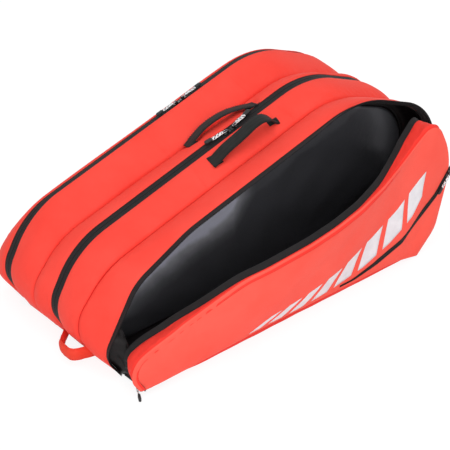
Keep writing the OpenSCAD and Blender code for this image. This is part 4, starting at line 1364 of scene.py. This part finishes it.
# The middle of each strap lies this far from the middle of the base.
STRAP_Y = 66.0
for hand, side in (("left", 1), ("right", -1)):
    pad = stuffed(f"{hand}_shoulder_pad", f"{hand}_strap_pad", mesh_black, 1.6, 2.2)
    points = points_of(pad)
    points[:, 2] = np.clip(points[:, 2], 0.8, 10.2)
    set_points(pad, points)
    cloth_map(pad.data, points[:, :2])
    put(pad, f"{hand}_strap", "air_mesh", f"{hand}_strap_pad")
    # The strap's webbing runs down from the pad, through the ladder lock and into the base.
    y = side * STRAP_Y
    x = np.concatenate((np.linspace(196, 66, 60), np.linspace(65, 44, 20)))
    z = np.interp(x, (44, 47.5, 51, 55.5, 59, 63, 70, 196), (3.2, 3.6, 8.0, 8.3, 5.4, 5.2, 5.5, 5.5))
    line = np.stack((x, np.full(len(x), y), z), 1)
    a, b = frames(line, ALONG_Z)
    points, faces = band(line, b, a, section(25, 1.6, 0.0, 16))
    put(right_way_out(mesh_piece(f"{hand}_strap_tape", points, faces, webbing_black, points[:, :2])),
        f"{hand}_strap", "webbing", f"{hand}_strap_webbing")

# The floor lining of the open compartment lies on the base between these ends and sides.
FLOOR_X, FLOOR_Y = (-353, 299), (-210, -76.5)
x, y = np.meshgrid(np.linspace(*FLOOR_X, 150), np.linspace(*FLOOR_Y, 40), indexing="ij")
edge = np.minimum(np.minimum(x - FLOOR_X[0], FLOOR_X[1] - x), np.minimum(y - FLOOR_Y[0], FLOOR_Y[1] - y))
loose = np.maximum(0, 1.6 + 1.5 * ripples(x, y, 75, 131, 1.4) + 0.7 * ripples(x, y, 30, 132))
floor_grid = np.stack((x, y, 15.6 + loose * np.clip(edge / 14, 0, 1)), 2)
floor_lining = put(cloth_piece("compartment_floor_lining", floor_grid, ALONG_Z, lining_black, LINING_T),
                   "bag", "inner_lining")

# The lining's webs between the open zip's two sides at both ends, which fold in when the zip is closed.
# They stretch between their fixed edge and this y, at this height in metres.
WEB_TURN_Y, WEB_TURN_Z = -195, 0.03


def web_lining(name, stations, hand, still_y, moving, seed):
    """A web from the fixed side of the opening to the flap, at the end of the bag on this hand. moving
    holds the height, x and y of its edge on the flap, and how far it is folded inwards at that height, in
    mm."""
    heights, moving_x, moving_y, sag = np.array(moving, float).T
    z = np.concatenate((np.linspace(heights[0], 14, 8), np.linspace(17, heights[-1], 44)))[:, None]
    share = np.linspace(0, 1, 30)[None, :]
    still = beside_zip(FRONT, upright, 2.0, -1.2, open_rail)[stations]
    still = still[np.argsort(still[:, 2])]
    fold = np.interp(z, heights, sag) * np.sin(math.pi * share) ** 0.6
    y = still_y * (1 - share) + np.interp(z, heights, moving_y) * share
    still_x = np.interp(z, still[:, 2], still[:, 0])
    x = still_x * (1 - share) + np.interp(z, heights, moving_x) * share - hand * fold
    creased = 1.5 * ripples(y * 1.6 + z, z - y, 26, seed, 1.8) + 0.7 * ripples(y, z, 12, seed + 1, 1.6)
    x = x + creased * np.sin(math.pi * share) ** 0.5 * np.clip((z - 10) / 20, 0, 1)
    web = finished_mesh(cloth_piece(name, np.stack((x, y, np.broadcast_to(z, x.shape)), 2), (hand, 0, 0),
                                    lining_black, LINING_T))
    turns_at = [(x[20, 0] * MM, y_mm * MM, WEB_TURN_Z) for y_mm in (still_y, WEB_TURN_Y)]
    put(web, "front_flap", "inner_lining", turns_at=turns_at)


web_lining("handle_end_web_lining", slice(0, 90), -1, FRONT + 9,
           ((1.5, -354.5, -203, 5), (14, -357, -202, 6), (33, -361, -188, 10), (60, -364, -171, 13),
            (80, -360, -162, 9), (106, -360, -145, 0)), 141)
web_lining("head_end_web_lining", slice(-70, None), 1, FRONT + 16,
           ((1.5, 290, -203, 4), (14, 300, -195, 6), (33, 316, -178, 12), (60, 334, -172, 16),
            (88, 343, -168, 16), (125, 352, -160, 12)), 151)

# ---- printed bars on the flap ----

# Slanted bars between a lower and an upper line on the flap, in X and Z; they widen towards the head end.
BARS_LOW = np.array(((-150, 26), (-40, 26), (60, 30), (140, 44), (205, 70), (262, 108), (322, 172)), float)
BARS_HIGH = np.array(((-128, 44), (-20, 60), (82, 78), (160, 104), (222, 138), (282, 180), (338, 214)), float)
low_line, high_line = even(BARS_LOW, 200), even(BARS_HIGH, 200)
# Points along and up each bar. The bars' widths, the gaps between them, and how far their upper ends lean
# towards the head, are shares of the lines' length.
BAR_LONG, BAR_HIGH = 12, 10
BAR_WIDTHS, BAR_GAPS = np.linspace(0.052, 0.112, 8), np.linspace(0.036, 0.03, 8)
BAR_LEAN = 0.05
FILM_T = 0.3
quads = lattice(BAR_LONG, BAR_HIGH)
count, top = BAR_LONG * BAR_HIGH, BAR_HIGH - 1
rim = ([i * BAR_HIGH for i in range(BAR_LONG)] + [count - BAR_HIGH + k for k in range(1, BAR_HIGH)]
       + [i * BAR_HIGH + top for i in range(BAR_LONG - 2, -1, -1)] + list(range(top - 1, 0, -1)))
quads = (quads + [tuple(count + k for k in q[::-1]) for q in quads]
         + [(a, b, count + b, count + a) for a, b in zip(rim, rim[1:] + rim[:1])])
bar_parts = []
start = 0.02
for wide, free in zip(BAR_WIDTHS, BAR_GAPS):
    along = np.linspace(start, start + wide, BAR_LONG)
    start += wide + free
    low = read_at(np.linspace(0, 1, 200), low_line, along)
    high = read_at(np.linspace(0, 1.06, 200), high_line, along + BAR_LEAN)
    place = between(low, high, np.linspace(0, 1, BAR_HIGH))
    front = laid_on(flap_tree, place[:, :, 0].ravel(), place[:, :, 1].ravel(), -1, 0.35)
    bar_parts.append((np.concatenate((front, front + (0, FILM_T, 0))), quads))
put(right_way_out(bundle("flap_printed_bars", bar_parts, film_white)), "front_flap", "side_cloth")

# ---- finishes on the solid pieces that stay: sliders and ladder locks ----

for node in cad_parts:
    for word, finish in (("slider", zinc), ("lock", buckle_acetal)):
        if word in node:
            kept = bpy.data.objects[node].data.materials
            kept.clear()
            kept.append(finish)

# ---- floor, light and camera ----


def seen_directly(tree):
    """1 for the rays of the camera, of gloss and of clear plastic, 0 for those that light the bag."""
    ray = add(tree, "LightPath")
    seen = add(tree, "Math", {0: ray.outputs["Is Camera Ray"], 1: ray.outputs["Is Glossy Ray"]},
               operation="MAXIMUM")
    return add(tree, "Math", {0: seen.outputs[0], 1: ray.outputs["Is Transmission Ray"]},
               operation="MAXIMUM").outputs[0]


# The floor is a pale matt surface that the camera and the gloss see as near white; this share of it is lit,
# so that it keeps the bag's shadow. It lies just under the bag; both sizes are in mm.
LIT_SHARE = 0.22
FLOOR_Z = -0.4
FLOOR_HALF = 9000
pale_floor = bpy.data.materials.new("pale_floor")
tree = emptied(pale_floor)
matt = add(tree, "BsdfDiffuse", {"Color": srgb("#f4f4f4")})
white = add(tree, "Emission", {"Color": (1, 1, 1, 1), "Strength": 1.12})
part = add(tree, "Math", {0: seen_directly(tree), 1: 1 - LIT_SHARE}, operation="MULTIPLY")
both = add(tree, "MixShader", {0: part.outputs[0], 1: matt.outputs[0], 2: white.outputs[0]})
add(tree, "OutputMaterial", {"Surface": both.outputs[0]})
corners = [(x * FLOOR_HALF, y * FLOOR_HALF, FLOOR_Z) for x, y in ((-1, -1), (1, -1), (1, 1), (-1, 1))]
mesh_piece("floor", corners, [(0, 1, 2, 3)], pale_floor)

world = bpy.data.worlds.new("studio")
bpy.context.scene.world = world
tree = emptied(world)
fill = add(tree, "Background", {"Color": (1, 1, 1, 1), "Strength": 0.66})
backdrop = add(tree, "Background", {"Color": (1, 1, 1, 1), "Strength": 1.0})
both = add(tree, "MixShader", {0: seen_directly(tree), 1: fill.outputs[0], 2: backdrop.outputs[0]})
add(tree, "OutputWorld", {"Surface": both.outputs[0]})


def softbox(name, place, target, size, watts):
    """A square area lamp at place, in metres, aimed at the target."""
    lamp = bpy.data.lights.new(name, "AREA")
    lamp.shape = "SQUARE"
    lamp.size = size
    lamp.energy = watts
    holder = bpy.data.objects.new(name, lamp)
    holder.location = place
    holder.rotation_euler = (Vector(target) - Vector(place)).to_track_quat("-Z", "Y").to_euler()
    bpy.context.collection.objects.link(holder)


softbox("overhead_softbox", (-0.5, -0.7, 2.6), (0, 0, 0.1), 1.8, 17)
softbox("front_softbox", (-1.6, -2.6, 1.3), (0, 0, 0.15), 1.6, 30)

scene = bpy.context.scene
scene.view_settings.view_transform = "Standard"
lens = bpy.data.cameras.new("camera")
lens.lens = 121.39
lens.sensor_width = 36
camera = bpy.data.objects.new("camera", lens)
camera.matrix_world = Matrix(((0.76537, 0.34817, -0.54128, -1.54598), (-0.64358, 0.40960, -0.64655, -1.83618),
                              (-0.00340, 0.84321, 0.53757, 1.61919), (0, 0, 0, 1)))
scene.collection.objects.link(camera)
scene.camera = camera
